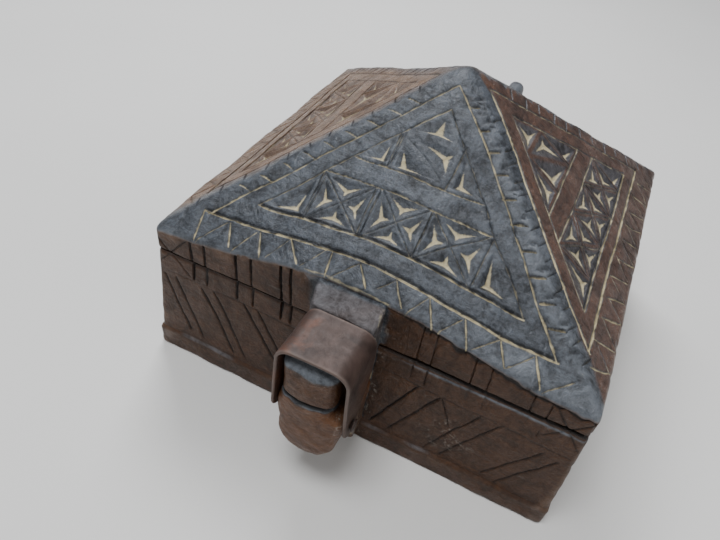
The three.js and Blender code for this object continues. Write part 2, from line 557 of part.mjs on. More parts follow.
// The carving of one slope: a zigzag over the eave, two three-sided frame lines, and inside them
// a row of three squares with four chips each, a plain band, and a row between two posts.
function slopeCuts(side) {
  const face = slopeFace(side);
  const half = halfLength(side);
  const deep = halfAcross(side);
  const reach = (v, inward) => half * (1 - v / deep) - inward;
  const meet = (inward) => deep * (1 - inward / half);
  const pieces = ([a], [b]) => (side % 2 ? 1 : Math.ceil(Math.abs(b - a) / LINE_STEP) || 1);
  const lines = [];
  for (const [up, inward] of [[FRAME_UP, FRAME_IN], [INNER_UP, INNER_IN]]) {
    const wide = reach(up, inward);
    const corners = [[-wide, up], [wide, up], [0, meet(inward)]];
    lines.push(...corners.map((corner, i) => [corner, corners[(i + 1) % 3]]));
  }
  for (const v of [BAND_FOOT, BAND_TOP]) {
    lines.push([[-reach(v, INNER_IN), v], [reach(v, INNER_IN), v]]);
  }
  const row = reach(BAND_FOOT, INNER_IN);
  const postTop = meet(INNER_IN + POST);
  lines.push(...[-row, -row / 3, row / 3, row].map((u) => [[u, INNER_UP], [u, BAND_FOOT]]),
    ...[-POST, POST].map((u) => [[u, BAND_TOP], [u, postTop]]));
  const teeth = 2 * ZIGZAG_TEETH[side];
  const tooth = (i) => [half * ZIGZAG_REACH * (2 * i / teeth - 1), i % 2 ? ZIGZAG_FOOT : ZIGZAG_TOP];
  const zigzag = Array.from({ length: teeth }, (_, i) => stroke(face, tooth(i), tooth(i + 1)));
  const squares = [-1, 0, 1].flatMap((k) => {
    const [left, right] = [(2 * k - 1) * row / 3, (2 * k + 1) * row / 3];
    const corners = [[left, BAND_FOOT], [right, BAND_FOOT], [right, INNER_UP], [left, INNER_UP]];
    const middle = [(left + right) / 2, (INNER_UP + BAND_FOOT) / 2];
    return corners.map((corner, i) => chip(face, [corner, corners[(i + 1) % 4], middle]));
  });
  const ends = [-1, 1].flatMap((way) => [
    chip(face, [[way * row, BAND_FOOT], [way * row, INNER_UP],
      [way * reach(INNER_UP, INNER_IN), INNER_UP]], [1, 3, 1]),
    chip(face, [[way * POST, postTop], [way * POST, BAND_TOP],
      [way * reach(BAND_TOP, INNER_IN), BAND_TOP]], [1, 3, 1]),
  ]);
  return [
    ...lines.flatMap(([a, b]) => strokes(pieces(a, b), face, a, b)),
    ...zigzag, ...squares, ...ends,
    chip(face, [[-POST, postTop], [-POST, BAND_TOP], [POST, BAND_TOP]], [1, 3, 1]),
    chip(face, [[-POST, postTop], [POST, postTop], [POST, BAND_TOP]], [1, 3, 1]),
    chip(face, [[-POST, postTop], [POST, postTop], [0, meet(INNER_IN)]]),
  ];
}

function lid() {
  const whole = sum([
    lidBlock(),
    frontBlock(LID_Z, BLOCK_TOP_Z),
    upperTongue(),
    box(HINGE_X - LID_BLOCK_HALF, HINGE_X + LID_BLOCK_HALF, REAR_Y - LID_RIM / 2, LID_BLOCK_REAR_Y,
      LID_Z, BLOCK_TOP_Z),
    knuckle(),
  ]);
  return without(whole, [
    hollow(),
    pinBore(KNUCKLE_HALF),
    ...bradPlaces().map(([, x, y]) => bradHole(x, y)),
    ...uprights(),
    ...SIDES.flatMap(slopeCuts),
  ]).asOriginal().simplify(FINEST);
}

// Mirror, battens and brads.

const mirrorTop = CEILING_Z - GAP;
const frameX = MIRROR_HALF_X + GAP + BATTEN_WIDTH - BATTEN_LAP;
const frameY = MIRROR_HALF_Y + GAP + BATTEN_WIDTH - BATTEN_LAP;
const frameFoot = mirrorTop - BATTEN_THICK;

function mirror() {
  return box(-MIRROR_HALF_X, MIRROR_HALF_X, -MIRROR_HALF_Y, MIRROR_HALF_Y,
    mirrorTop - MIRROR_THICK, mirrorTop);
}

// Two brads hold each batten, beside the mirror's edge.
function bradPlaces() {
  const x = MIRROR_HALF_X + (BATTEN_WIDTH - BATTEN_LAP) / 2 + GAP;
  const y = MIRROR_HALF_Y + (BATTEN_WIDTH - BATTEN_LAP) / 2 + GAP;
  const alongFront = frameX - BRAD_INSET;
  const alongSide = frameY - BATTEN_WIDTH - BRAD_INSET;
  return [
    ['front_left', -alongFront, -y], ['front_right', alongFront, -y],
    ['back_left', -alongFront, y], ['back_right', alongFront, y],
    ['left_front', -x, -alongSide], ['left_back', -x, alongSide],
    ['right_front', x, -alongSide], ['right_back', x, alongSide],
  ];
}

function bradHole(x, y) {
  const z0 = frameFoot - 1;
  const z1 = CEILING_Z + BRAD_BITE + 1;
  const geometry = new THREE.CylinderGeometry(BRAD_RADIUS + GAP, BRAD_RADIUS + GAP, z1 - z0, 8);
  return solid(geometry.rotateX(Math.PI / 2).translate(x, y, (z0 + z1) / 2));
}

// A forged brad: a flat head under the batten and a shank that ends in a point in the lid.
function brad(x, y) {
  const tip = CEILING_Z + BRAD_BITE;
  const seat = frameFoot - GAP;
  const profile = [[0, seat - BRAD_HEAD], [BRAD_HEAD_RADIUS * 0.8, seat - BRAD_HEAD],
    [BRAD_HEAD_RADIUS, seat - BRAD_HEAD / 2], [BRAD_HEAD_RADIUS, seat], [BRAD_RADIUS, seat],
    [BRAD_RADIUS, tip - 2], [0, tip]].map(([a, b]) => new THREE.Vector2(a, b));
  const geometry = new THREE.LatheGeometry(profile, 8);
  return solid(geometry.rotateX(Math.PI / 2).translate(x, y, 0));
}

// A batten runs along one side of the mirror, rebated over its edge and held to the lid's
// ceiling by two brads. The front and back ones run past the two side ones.
function batten(side, across) {
  const lapX = MIRROR_HALF_X + GAP - BATTEN_LAP;
  const lapY = MIRROR_HALF_Y + GAP - BATTEN_LAP;
  const endY = frameY - BATTEN_WIDTH - GAP;
  const bar = across
    ? box(-frameX, frameX, Math.min(side * lapY, side * frameY), Math.max(side * lapY, side * frameY),
      frameFoot, mirrorTop)
    : box(Math.min(side * lapX, side * frameX), Math.max(side * lapX, side * frameX), -endY, endY,
      frameFoot, mirrorTop);
  const rebate = box(-MIRROR_HALF_X - GAP, MIRROR_HALF_X + GAP, -MIRROR_HALF_Y - GAP,
    MIRROR_HALF_Y + GAP, mirrorTop - MIRROR_THICK - GAP, mirrorTop + 1);
  return without(bar, [rebate, ...bradPlaces().map(([, x, y]) => bradHole(x, y))]);
}

// Dividers.

const dividerFoot = FLOOR + GAP;
const dividerTop = RIM_Z - DIVIDER_BELOW_RIM;
const dividerHalf = DIVIDER_THICK / 2;
const lapHeight = (dividerFoot + dividerTop) / 2;

// The long divider is notched from above where the cross dividers drop over it.
function longDivider() {
  const end = HALF_WIDTH - WALL + DIVIDER_GROOVE - GAP;
  const board = box(-end, end, LONG_DIVIDER_Y - dividerHalf, LONG_DIVIDER_Y + dividerHalf,
    dividerFoot, dividerTop);
  return without(board, [-1, 1].map((side) => {
    const x = side * CROSS_DIVIDER_X;
    return box(x - dividerHalf - GAP, x + dividerHalf + GAP, LONG_DIVIDER_Y - DIVIDER_THICK,
      LONG_DIVIDER_Y + DIVIDER_THICK, lapHeight, dividerTop + 1);
  }));
}

function crossDivider(side) {
  const end = HALF_DEPTH - WALL + DIVIDER_GROOVE - GAP;
  const x = side * CROSS_DIVIDER_X;
  const board = box(x - dividerHalf, x + dividerHalf, -end, end, dividerFoot, dividerTop);
  return without(board, [box(x - DIVIDER_THICK, x + DIVIDER_THICK,
    LONG_DIVIDER_Y - dividerHalf - GAP, LONG_DIVIDER_Y + dividerHalf + GAP,
    dividerFoot - 1, lapHeight + GAP)]);
}

// The iron strap and its nails.

// One strip of sheet iron bent into an arch over the tongues. Its legs narrow to round ends,
// which turn on two nails in the sides of the lower tongue.
function strap() {
  const under = STRAP_TOP_Z - STRAP_SHEET;
  const foot = NAIL_Z - STRAP_END_RADIUS - 1;
  const splay = STRAP_SPLAY * (under - foot) / STRAP_LEG;
  const inner = [
    [STRAP_HALF + splay, foot],
    ...arc(STRAP_HALF - STRAP_BEND, under - STRAP_BEND, STRAP_BEND, 0, 90, 6),
  ];
  const outerBend = STRAP_BEND + STRAP_SHEET;
  const outer = [
    [STRAP_HALF + STRAP_SHEET + splay, foot],
    ...arc(STRAP_HALF - STRAP_BEND, under - STRAP_BEND, outerBend, 0, 90, 6),
  ];
  const front = [...outer, ...mirrored(outer), ...inner.map(([a, b]) => [-a, b]),
    ...[...inner].reverse()];
  const frontEdge = STRAP_REAR_Y - STRAP_DEPTH;
  const side = [
    [STRAP_REAR_Y, STRAP_TOP_Z + 1], [STRAP_REAR_Y, STRAP_TOP_Z - STRAP_SHOULDER],
    ...arc(NAIL_Y, NAIL_Z, STRAP_END_RADIUS, 20, -200, 14),
    [frontEdge, STRAP_TOP_Z - STRAP_SHOULDER], [frontEdge, STRAP_TOP_Z + 1],
  ].reverse();
  const wide = STRAP_HALF + splay + STRAP_SHEET + 2;
  const bent = alongY(front, frontEdge - 1, STRAP_REAR_Y + 1)
    .intersect(alongX(side, -wide, wide));
  return bent.subtract(barX(NAIL_RADIUS + BORE_GAP, -wide, wide, NAIL_Y, NAIL_Z, 16));
}

function nail(side) {
  const seat = side * (LEG_INSIDE + STRAP_SHEET + GAP * 2);
  const end = side * (LEG_INSIDE - NAIL_BITE);
  const head = seat + side * NAIL_HEAD;
  return sum([
    barX(NAIL_RADIUS, Math.min(seat, end), Math.max(seat, end), NAIL_Y, NAIL_Z, 12),
    barX(NAIL_HEAD_RADIUS, Math.min(seat, head), Math.max(seat, head), NAIL_Y, NAIL_Z, 12),
  ]);
}

// The pin and its washers.

const washerSeat = EAR_OUTSIDE + GAP;
const pinEnd = washerSeat + WASHER_THICK + GAP;

function pin() {
  return sum([
    barX(PIN_RADIUS, HINGE_X - pinEnd - PIN_HEAD, HINGE_X + pinEnd + PIN_HEAD, PIN_Y, PIN_Z),
    barX(PIN_HEAD_RADIUS, HINGE_X + pinEnd, HINGE_X + pinEnd + PIN_HEAD, PIN_Y, PIN_Z),
    barX(PIN_HEAD_RADIUS * 0.85, HINGE_X - pinEnd - PIN_HEAD, HINGE_X - pinEnd, PIN_Y, PIN_Z),
  ]);
}

function washer(side) {
  const inner = HINGE_X + side * washerSeat;
  const outer = HINGE_X + side * (washerSeat + WASHER_THICK);
  return barX(WASHER_RADIUS, Math.min(inner, outer), Math.max(inner, outer), PIN_Y, PIN_Z)
    .subtract(barX(PIN_RADIUS + GAP, Math.min(inner, outer) - 1, Math.max(inner, outer) + 1,
      PIN_Y, PIN_Z));
}

// The assembly.

function piece(name, manifold, finish) {
  const mesh = new THREE.Mesh(geometryOf(manifold), new THREE.MeshStandardMaterial(finish));
  mesh.name = name;
  return mesh;
}

const bindiBox = new THREE.Group();
bindiBox.add(
  piece('box_body', boxBody(), WOOD),
  piece('divider_long', longDivider(), INNER_WOOD),
  piece('divider_cross_left', crossDivider(-1), INNER_WOOD),
  piece('divider_cross_right', crossDivider(1), INNER_WOOD),
  piece('hinge_pin', pin(), IRON),
  piece('hinge_washer_left', washer(-1), IRON),
  piece('hinge_washer_right', washer(1), IRON),
  piece('strap_nail_left', nail(-1), IRON),
  piece('strap_nail_right', nail(1), IRON),
  piece('iron_strap', strap(), IRON),
  piece('lid', lid(), WOOD),
  piece('mirror', mirror(), GLASS),
  piece('batten_front', batten(-1, true), INNER_WOOD),
  piece('batten_back', batten(1, true), INNER_WOOD),
  piece('batten_left', batten(-1, false), INNER_WOOD),
  piece('batten_right', batten(1, false), INNER_WOOD),
  ...bradPlaces().map(([name, x, y]) => piece(`brad_${name}`, brad(x, y), IRON)),
);

export default bindiBox;
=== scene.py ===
# %% [markdown]
# # A carved bindi box
# The box keeps the powder and the small jewellery that a bindi is worn with. It is cut from one
# block of dark wood, its lid is a hollowed pyramid covered with chip carving, and an iron strap
# swings over the lid's tongue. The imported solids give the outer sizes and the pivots. This lesson
# gives each piece the surface of the real one: hand-cut wood, chalk in the cuts, forged iron.
# Lengths are millimetres, and become metres when a mesh is made. Only the camera, the lamps and
# the materials count in metres, as Blender does.

# %% Load the solids and keep their size
import json
import bpy
import numpy as np
from mathutils import Matrix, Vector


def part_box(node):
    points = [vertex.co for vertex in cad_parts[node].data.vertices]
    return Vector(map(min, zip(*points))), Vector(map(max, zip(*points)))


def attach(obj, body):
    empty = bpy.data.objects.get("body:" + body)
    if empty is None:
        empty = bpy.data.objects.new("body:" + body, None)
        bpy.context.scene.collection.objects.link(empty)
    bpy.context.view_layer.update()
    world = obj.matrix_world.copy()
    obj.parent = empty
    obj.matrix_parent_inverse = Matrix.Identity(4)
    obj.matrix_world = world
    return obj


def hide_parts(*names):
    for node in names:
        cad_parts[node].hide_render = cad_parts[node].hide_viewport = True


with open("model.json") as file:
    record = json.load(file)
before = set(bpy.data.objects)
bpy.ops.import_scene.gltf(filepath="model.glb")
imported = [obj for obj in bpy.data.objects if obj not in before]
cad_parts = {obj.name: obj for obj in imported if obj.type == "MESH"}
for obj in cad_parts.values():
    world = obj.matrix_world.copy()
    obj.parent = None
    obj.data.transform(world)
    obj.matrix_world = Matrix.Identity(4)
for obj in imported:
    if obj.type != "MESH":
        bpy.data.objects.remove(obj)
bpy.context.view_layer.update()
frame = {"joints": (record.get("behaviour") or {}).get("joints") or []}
MM = 0.001


def corners(node):
    """The lowest and the highest corner of one solid, in millimetres."""
    low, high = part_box(node)
    return np.array(low) / MM, np.array(high) / MM


def pivot(name):
    """The place of one joint at rest, in millimetres, to the nearest tenth."""
    joint = next(row for row in frame["joints"] if row["name"] == name)
    return tuple(round(value / MM, 1) for value in joint["pos_m"])


for node in ("lid", "box_body", "iron_strap"):
    low, high = corners(node)
    print(node, "from", low.round(1), "to", high.round(1))

# %% [markdown]
# ## Camera, light and floor
# The photograph was taken from in front and above, a little to the right, with the camera rolled
# by about ten degrees. A camera is only an eye point and three directions, so they are written
# straight into its matrix. The light is a soft lamp above and in front, one behind on the left,
# a wide weak one on the right, and a pale sky.

# %% Camera


def facing(right, up, back, place):
    """The matrix of a thing at a place, from its right, its up and its back, away from which it
    looks."""
    return Matrix([[right[k], up[k], back[k], place[k]] for k in range(3)] + [[0, 0, 0, 1]])


EYE = (0.0618, -0.2961, 0.3030)
RIGHT = (0.89534, 0.42895, 0.11984)
UP = (-0.37721, 0.58727, 0.71612)
BACK = (0.23681, -0.68638, 0.68761)

camera = bpy.data.objects.new("camera", bpy.data.cameras.new("camera"))
camera.data.lens = 31.2
camera.data.sensor_width = 36.0
camera.data.clip_start = 0.01
camera.matrix_world = facing(RIGHT, UP, BACK, EYE)
bpy.context.scene.collection.objects.link(camera)
bpy.context.scene.camera = camera
print("camera looks along", [round(-part, 2) for part in BACK])

# %% Lights and floor


def lamp(name, place, aim, size, power, colour):
    """A flat light of that width and depth at a place, turned to face the point it aims at."""
    light = bpy.data.objects.new(name, bpy.data.lights.new(name, "AREA"))
    light.data.shape = "RECTANGLE"
    light.data.size, light.data.size_y = size
    light.data.energy = power
    light.data.color = colour
    way = np.array(place, float) - np.array(aim, float)
    back = way / np.linalg.norm(way)
    right = np.cross([0, 0, 1], back)
    right /= np.linalg.norm(right)
    light.matrix_world = facing(right, np.cross(back, right), back, place)
    bpy.context.scene.collection.objects.link(light)
    return light


lamp("window", (-0.10, -0.40, 1.30), (0, 0, 0.1), (0.5, 0.4), 12.0, (0.96, 0.98, 1.0))
lamp("far_window", (-0.50, 0.70, 1.1), (0, 0, 0.1), (0.6, 0.5), 16.0, (0.95, 0.97, 1.0))
lamp("room", (0.9, -0.5, 0.9), (0, 0, 0.08), (1.3, 1.3), 4.0, (1.0, 0.97, 0.93))

world = bpy.data.worlds.new("pale_room")
world.use_nodes = True
world.node_tree.nodes["Background"].inputs["Color"].default_value = (0.86, 0.88, 0.92, 1)
world.node_tree.nodes["Background"].inputs["Strength"].default_value = 0.32
bpy.context.scene.world = world

# %% [markdown]
# ## Making meshes from arrays
# Every piece below is a grid of points worked out as one array. A grid that goes round a piece is
# closed into a skin: each point is joined to its neighbours in the same ring and in the next, and
# the two end rings are closed by a fan. Which way the faces point is settled by the sign of the
# skin's volume, so no piece can come out inside out.

# %% From arrays to closed skins


def outward(points, faces):
    """Faces turned over if the volume that they enclose is negative. Each triangle a, b, c gives
    a sixth of a.(b x c) to it; only the sign counts, so the sixth is left out."""
    volume = 0.0
    for rows in faces:
        first = points[rows[:, 0]]
        for k in range(1, rows.shape[1] - 1):
            cross = np.cross(points[rows[:, k]], points[rows[:, k + 1]])
            volume += np.einsum("ij,ij->", first, cross)
    return faces if volume > 0 else [rows[:, ::-1] for rows in faces]


def skin(rings):
    """A closed skin over rings of points: quads between neighbours, and a fan over each end."""
    count, around, _ = rings.shape
    points = np.concatenate([rings.reshape(-1, 3), rings[[0, -1]].mean(1)])
    here = np.arange(count * around).reshape(count, around)
    beside = np.roll(here, -1, 1)
    quads = np.stack([here[:-1], beside[:-1], beside[1:], here[1:]], -1).reshape(-1, 4)
    first = np.full(around, count * around)
    fans = np.concatenate([np.stack([first, beside[0], here[0]], -1),
                           np.stack([first + 1, here[-1], beside[-1]], -1)])
    return points, outward(points, [quads, fans])


def mesh_object(name, points, faces, values=None):
    """One object from points in mm and arrays of faces, with named values kept at its points."""
    mesh = bpy.data.meshes.new(name)
    sizes = np.concatenate([np.full(len(rows), rows.shape[1]) for rows in faces])
    loops = np.concatenate([rows.ravel() for rows in faces]).astype("i4")
    mesh.vertices.add(len(points))
    mesh.vertices.foreach_set("co", (points * MM).astype("f4").ravel())
    mesh.loops.add(len(loops))
    mesh.loops.foreach_set("vertex_index", loops)
    mesh.polygons.add(len(sizes))
    mesh.polygons.foreach_set("loop_start", (np.cumsum(sizes) - sizes).astype("i4"))
    mesh.update(calc_edges=True)
    mesh.validate()
    for key, value in (values or {}).items():
        layer = mesh.attributes.new(key, "FLOAT", "POINT")
        layer.data.foreach_set("value", np.asarray(value, "f4"))
    made = bpy.data.objects.new(name, mesh)
    bpy.context.scene.collection.objects.link(made)
    return made


def evaluated(piece):
    """The piece's modifiers worked into its mesh."""
    bpy.context.view_layer.update()
    graph = bpy.context.evaluated_depsgraph_get()
    mesh = bpy.data.meshes.new_from_object(piece.evaluated_get(graph))
    piece.modifiers.clear()
    piece.data = mesh
    return piece


def thinned(piece, triangles):
    """Spends triangles where the surface bends: flat parts keep few of them, cuts keep them all."""
    piece.data.calc_loop_triangles()
    held = len(piece.data.loop_triangles)
    if held > triangles:
        piece.modifiers.new("thin", "DECIMATE").ratio = triangles / held
        evaluated(piece)
    print(piece.name, "has", len(piece.data.polygons), "faces, from", held, "triangles")
    return piece


def united(name, parts, values):
    """Closed skins grown together into one block of wood, as the real one is cut from one."""
    shells = []
    for k, (points, faces, held) in enumerate(parts):
        rows = {key: held.get(key, np.zeros(len(points))) for key in values}
        shells.append(mesh_object(f"{name}_{k}", points, faces, rows))
    whole = shells[0]
    for other in shells[1:]:
        join = whole.modifiers.new("join", "BOOLEAN")
        join.operation, join.solver, join.object = "UNION", "MANIFOLD", other
    evaluated(whole)
    for other in shells[1:]:
        bpy.data.objects.remove(other)
    whole.name = name
    return whole


def finished(piece, material, body, slot, *nodes, angle=50):
    """Smooth faces with creases where it turns sharply, its material and body, and its solids
    hidden. The slot is not used.
    """
    piece.data.polygons.foreach_set("use_smooth", np.ones(len(piece.data.polygons), bool))
    piece.data.set_sharp_from_angle(angle=np.radians(angle))
    piece.data.materials.clear()
    piece.data.materials.append(material)
    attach(piece, body)
    if nodes:
        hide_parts(*nodes)
    return piece


# %% [markdown]
# ## The hand in the work
# Nothing on a hand-cut box is quite flat. A surface is made uneven by adding a few dozen cosine
# waves that run in random directions: long waves for the planes that the adze left, short ones
# for the marks of the knife. Each wave has its seed, so the box comes out the same every time.

# %% Unevenness


def uneven(points, length, seed, waves=16):
    """Sum of cosine waves of about that length in mm, in random directions; about -1 to 1."""
    rng = np.random.default_rng(seed)
    ways = rng.normal(size=(waves, 3))
    ways /= np.linalg.norm(ways, axis=1)[:, None]
    lengths = length * rng.uniform(0.7, 1.7, waves)
    starts = rng.uniform(0, 2 * np.pi, waves)
    total = np.zeros(points.shape[:-1])
    for way, wave, start in zip(ways, lengths, starts):
        total += np.cos(points @ way * (2 * np.pi / wave) + start)
    return total * 0.9 / np.sqrt(waves)


trial = uneven(np.arange(3000.0).reshape(-1, 3), 20, 1)
print("unevenness from", trial.min().round(2), "to", trial.max().round(2))


def smooth(low, high, value):
    """0 below low, 1 above high, and a smooth S between them."""
    t = np.clip((value - low) / (high - low), 0, 1)
    return t * t * (3 - 2 * t)


# %% [markdown]
# ## Cuts and chips
# Chip carving has two strokes. A line is a V, cut from both sides with a knife. A chip is a
# three-sided pit: three facets slope from its edges to one deep point. White chalk was rubbed in
# and stayed in the deepest places, so it shows as thin lines, and as a star with three arms in
# each chip. All are functions of a place on the face, which give the depth, the chalk and the
# dark of each point.

# %% A line and a chip


class Carving:
    """Depth, chalk and dark over one face. u and v are each point's place on the face, in mm.
    rng is the loose hand of the carver, and rub that of whoever rubbed in the chalk."""

    def __init__(self, u, v, seed):
        self.u, self.v = u, v
        self.depth, self.chalk, self.dark = (np.zeros(len(u)) for _ in range(3))
        self.rng = np.random.default_rng(seed)
        self.rub = np.random.default_rng(seed + 7)
        flat = np.stack([u, v, np.full(len(u), float(seed))], -1)
        self.drift = uneven(flat, 22, seed + 1) * 0.28, uneven(flat, 22, seed + 2) * 0.28
        self.ragged = uneven(flat, 5, seed + 3)

    def near(self, us, vs, reach):
        """The points inside the upright rectangle round some corners, grown by reach."""
        return np.flatnonzero((self.u > min(us) - reach) & (self.u < max(us) + reach)
                              & (self.v > min(vs) - reach) & (self.v < max(vs) + reach))

    def line(self, u0, v0, u1, v1, half=0.75, depth=0.9, chalk=1.0, dark=0.45):
        """A V with a narrow flat bottom: depth falls evenly from there to the edge, and runs out
        at both ends. Its middle is chalked, its flanks are dark."""
        at = self.near((u0, u1), (v0, v1), 3)
        length = max(np.hypot(u1 - u0, v1 - v0), 1e-6)
        du, dv = (u1 - u0) / length, (v1 - v0) / length
        u = self.u[at] + self.drift[0][at] - u0
        v = self.v[at] + self.drift[1][at] - v0
        along, off = u * du + v * dv, np.abs(u * dv - v * du)
        past = np.maximum(np.maximum(-along, along - length), 0)
        ends = smooth(-half * 2, half * 5, along) * smooth(-half * 2, half * 5, length - along)
        width = half * (1 + 0.16 * self.ragged[at]) * (0.55 + 0.45 * ends)
        shape = np.clip(1.4 - 1.4 * np.hypot(off, past) / width, 0, 1)
        self.depth[at] = np.maximum(self.depth[at], depth * shape * (0.7 + 0.3 * ends))
        self.dark[at] = np.maximum(self.dark[at], dark * smooth(0, 0.5, shape))
        white = chalk * smooth(0.1, 0.95, shape) * (0.84 + 0.22 * self.ragged[at])
        self.chalk[at] = np.maximum(self.chalk[at], white)

    def path(self, points, **cut):
        """A line that follows several points."""
        for (u0, v0), (u1, v1) in zip(points[:-1], points[1:]):
            self.line(u0, v0, u1, v1, **cut)

    def chip(self, triangle, deepest=(1, 1, 1), depth=2.2, chalk=1.0, inset=0.86):
        """A pit: depth follows the least of the three shares of a point in the triangle, each
        divided by the share of the deepest point. Chalk lies where the two least shares are
        nearly the same, which is along the three valleys; each valley keeps its own amount."""
        corner = np.array(triangle, float)
        corner = corner.mean(0) + (corner - corner.mean(0)) * inset
        at = self.near(corner[:, 0], corner[:, 1], 1)
        u = self.u[at] + self.drift[0][at]
        v = self.v[at] + self.drift[1][at]
        (ua, va), (ub, vb), (uc, vc) = corner
        whole = (vb - vc) * (ua - uc) + (uc - ub) * (va - vc)
        first = ((vb - vc) * (u - uc) + (uc - ub) * (v - vc)) / whole
        second = ((vc - va) * (u - uc) + (ua - uc) * (v - vc)) / whole
        shares = np.stack([first, second, 1 - first - second])
        weight = np.array(deepest, float)[:, None]
        shares = shares * weight.sum() / weight
        kept = self.rub.uniform(0.15, 1.0, 3)
        kept[self.rub.integers(3)] = 1.0
        kept = kept[np.argmax(shares, axis=0)]
        shares = np.sort(shares, axis=0)
        least, next_least = np.clip(shares[0], 0, 1), shares[1]
        self.depth[at] = np.maximum(self.depth[at], depth * least ** 1.1)
        self.dark[at] = np.maximum(self.dark[at], 0.14 * smooth(0, 0.12, least))
        arm = (0.55 + 0.6 * kept) * least ** 2.1 + 0.016
        star = smooth(1.0, 0.3, (next_least - least) / arm)
        star = star * smooth(0.44 - 0.34 * kept, 0.66, least)
        white = chalk * np.maximum(star, 0.16 * smooth(0.05, 0.8, least))
        self.chalk[at] = np.maximum(self.chalk[at], white * (1 + 0.1 * self.ragged[at]))


across = np.linspace(-5.0, 5.0, 201)
trial = Carving(across, 0 * across, 1)
trial.line(0, -8, 0, 8)
print("a line is", trial.depth.max().round(2), "mm deep and",
      round(np.count_nonzero(trial.depth) * 0.05, 2), "mm wide")


# %% [markdown]
# ## The pattern of one slope
# All four slopes share one plan. A band of zigzag runs over the eave. Above it a three-sided
# frame line goes up both ridges, a plain band follows, and a second frame line encloses two rows
# of chips with a plain band between them: squares with a cross and four chips in each, and half
# squares at the ends. Short strokes notch the ridges. The places on the front slope were measured
# on the photograph; u goes along the eave from the middle, and v is the distance from the eave
# seen from above. On the other slopes they follow from a few distances, and each line gets the
# small errors of a free hand.

# %% The plan of the lid
HALF_X = round(corners("lid")[1][0], 1)
HALF_Y = 110.6
EAVE, TIP = 89.0, 169.9
print("half width", HALF_X, "mm, half depth", HALF_Y, "mm, rise", round(TIP - EAVE, 1), "mm")

# %% The lines of a slope
FRONT_LINES = {
    "frame_base": [(-93.4, 14.6), (-65.7, 13.4), (-31.8, 12.1), (0.5, 11.1), (29.7, 10.8),
                   (55.8, 11.1), (77.4, 12.6), (90.5, 13.4)],
    "frame_left": [(-90.5, 13.4), (-50.3, 52.6), (-25.7, 75.9), (-0.3, 99.5)],
    "frame_right": [(-0.3, 99.5), (25.1, 77.6), (49.7, 54.0), (72.8, 29.6), (89.6, 13.6)],
    "inner_base": [(-68.0, 23.8), (-41.1, 21.8), (-10.3, 20.3), (14.3, 20.0), (35.8, 20.6),
                   (54.3, 21.5), (70.5, 22.1)],
    "inner_left": [(-68.0, 23.8), (-44.2, 46.4), (-34.2, 55.7), (-16.5, 71.1), (0.8, 87.2)],
    "inner_right": [(0.8, 87.2), (10.9, 76.8), (35.1, 55.7), (43.9, 46.3), (70.5, 22.1)],
    "band_foot": [(-44.2, 46.4), (-25.7, 44.1), (-13.4, 42.6), (2.0, 41.8), (15.8, 42.1),
                  (29.7, 43.7), (43.5, 46.1)],
    "band_top": [(-34.2, 55.7), (-25.7, 53.8), (-10.3, 52.1), (5.1, 51.7), (15.8, 52.3),
                 (25.1, 53.7), (35.1, 55.7)],
}
FRONT_POSTS = [(-44.4, 46, -44.0, 22.4), (-42.6, 44.8, -42.8, 22.2), (-15.7, 43.2, -15.3, 21.0),
               (-13.3, 42.4, -13.4, 20.6), (14.2, 42.2, 13.9, 20.2), (44.6, 45.8, 42.9, 21.4),
               (-16.3, 70.5, -15.8, 53.2), (-14.9, 69.5, -14.7, 52.8), (15.2, 74.6, 14.9, 52.6)]
FRONT_SQUARES = [(-42.9, -15.6, 44.6, 42.9, 22.0, 20.9), (-13.2, 13.7, 42.5, 42.0, 20.6, 20.2),
                 (14.6, 43.0, 42.3, 45.6, 20.2, 21.0)]
FRONT_ZIGZAG = [(-93.4, 14.4, -90.6, 1.1), (-89.5, 0.3, -78.3, 12.3), (-77.2, 12.3, -71.1, 1.6),
                (-69.1, 0.3, -60.8, 11.8), (-59.5, 11.8, -53.1, 0.6), (-50.3, 1.1, -43.1, 11.8),
                (-42.6, 11.8, -33.4, 1.6), (-31.8, 1.1, -23.8, 11.8), (-20.8, 11.5, -18.8, 0.3),
                (-16.5, -0.2, -6.0, 9.8), (-5.7, 9.8, 1.2, 1.6), (5.8, 3.6, 12.8, 10.3),
                (12.8, 9.8, 19.4, 1.1), (21.2, -0.9, 28.2, 9.8), (28.9, 9.8, 35.5, -0.9),
                (37.4, -0.9, 45.4, 9.2), (46.6, 9.8, 52.5, -0.4), (54.3, 0.6, 64.3, 10.3),
                (65.1, 10.3, 70.5, 1.1), (70.9, 1.1, 80.5, 11.1), (81.2, 11.8, 87.4, 1.6),
                (88.9, 1.1, 99.2, 9.2)]
FRONT_CHIPS = [([(-45.4, 43.6), (-45.2, 22.9), (-66.0, 24.1)], (1, 3.6, 1)),
               ([(45.2, 43.8), (44.9, 22.4), (67.0, 23.2)], (1, 3.2, 1)),
               ([(-17.4, 68.8), (-17.2, 54.0), (-32.6, 55.9)], (1, 3.4, 1)),
               ([(16.4, 71.4), (16.2, 53.6), (32.6, 55.8)], (1, 2.6, 1)),
               ([(-14.0, 67.2), (-14.2, 53.0), (12.4, 52.9)], (1, 3.4, 1)),
               ([(-11.4, 69.2), (14.0, 71.2), (14.4, 54.6)], (1, 2.6, 1.2)),
               ([(-13.6, 72.2), (13.4, 72.6), (0.6, 85.4)], (1, 1, 0.5))]
FRONT_SCRATCH = [(-13.2, 68.8), (14.2, 53.6)]
FRONT_EAVE_DUST = [(-29.0, 0.6), (-19.0, 0.5), (-8.0, 0.4), (13.5, 0.5)]
FRONT_LOOSE_DUST = [(22.0, 10.6), (55.8, 10.7), (77.4, 12.0), (86.0, 12.6)]
print("front slope:", len(FRONT_ZIGZAG), "strokes of zigzag,", len(FRONT_SQUARES), "squares,",
      4 * len(FRONT_SQUARES) + len(FRONT_CHIPS), "chips")


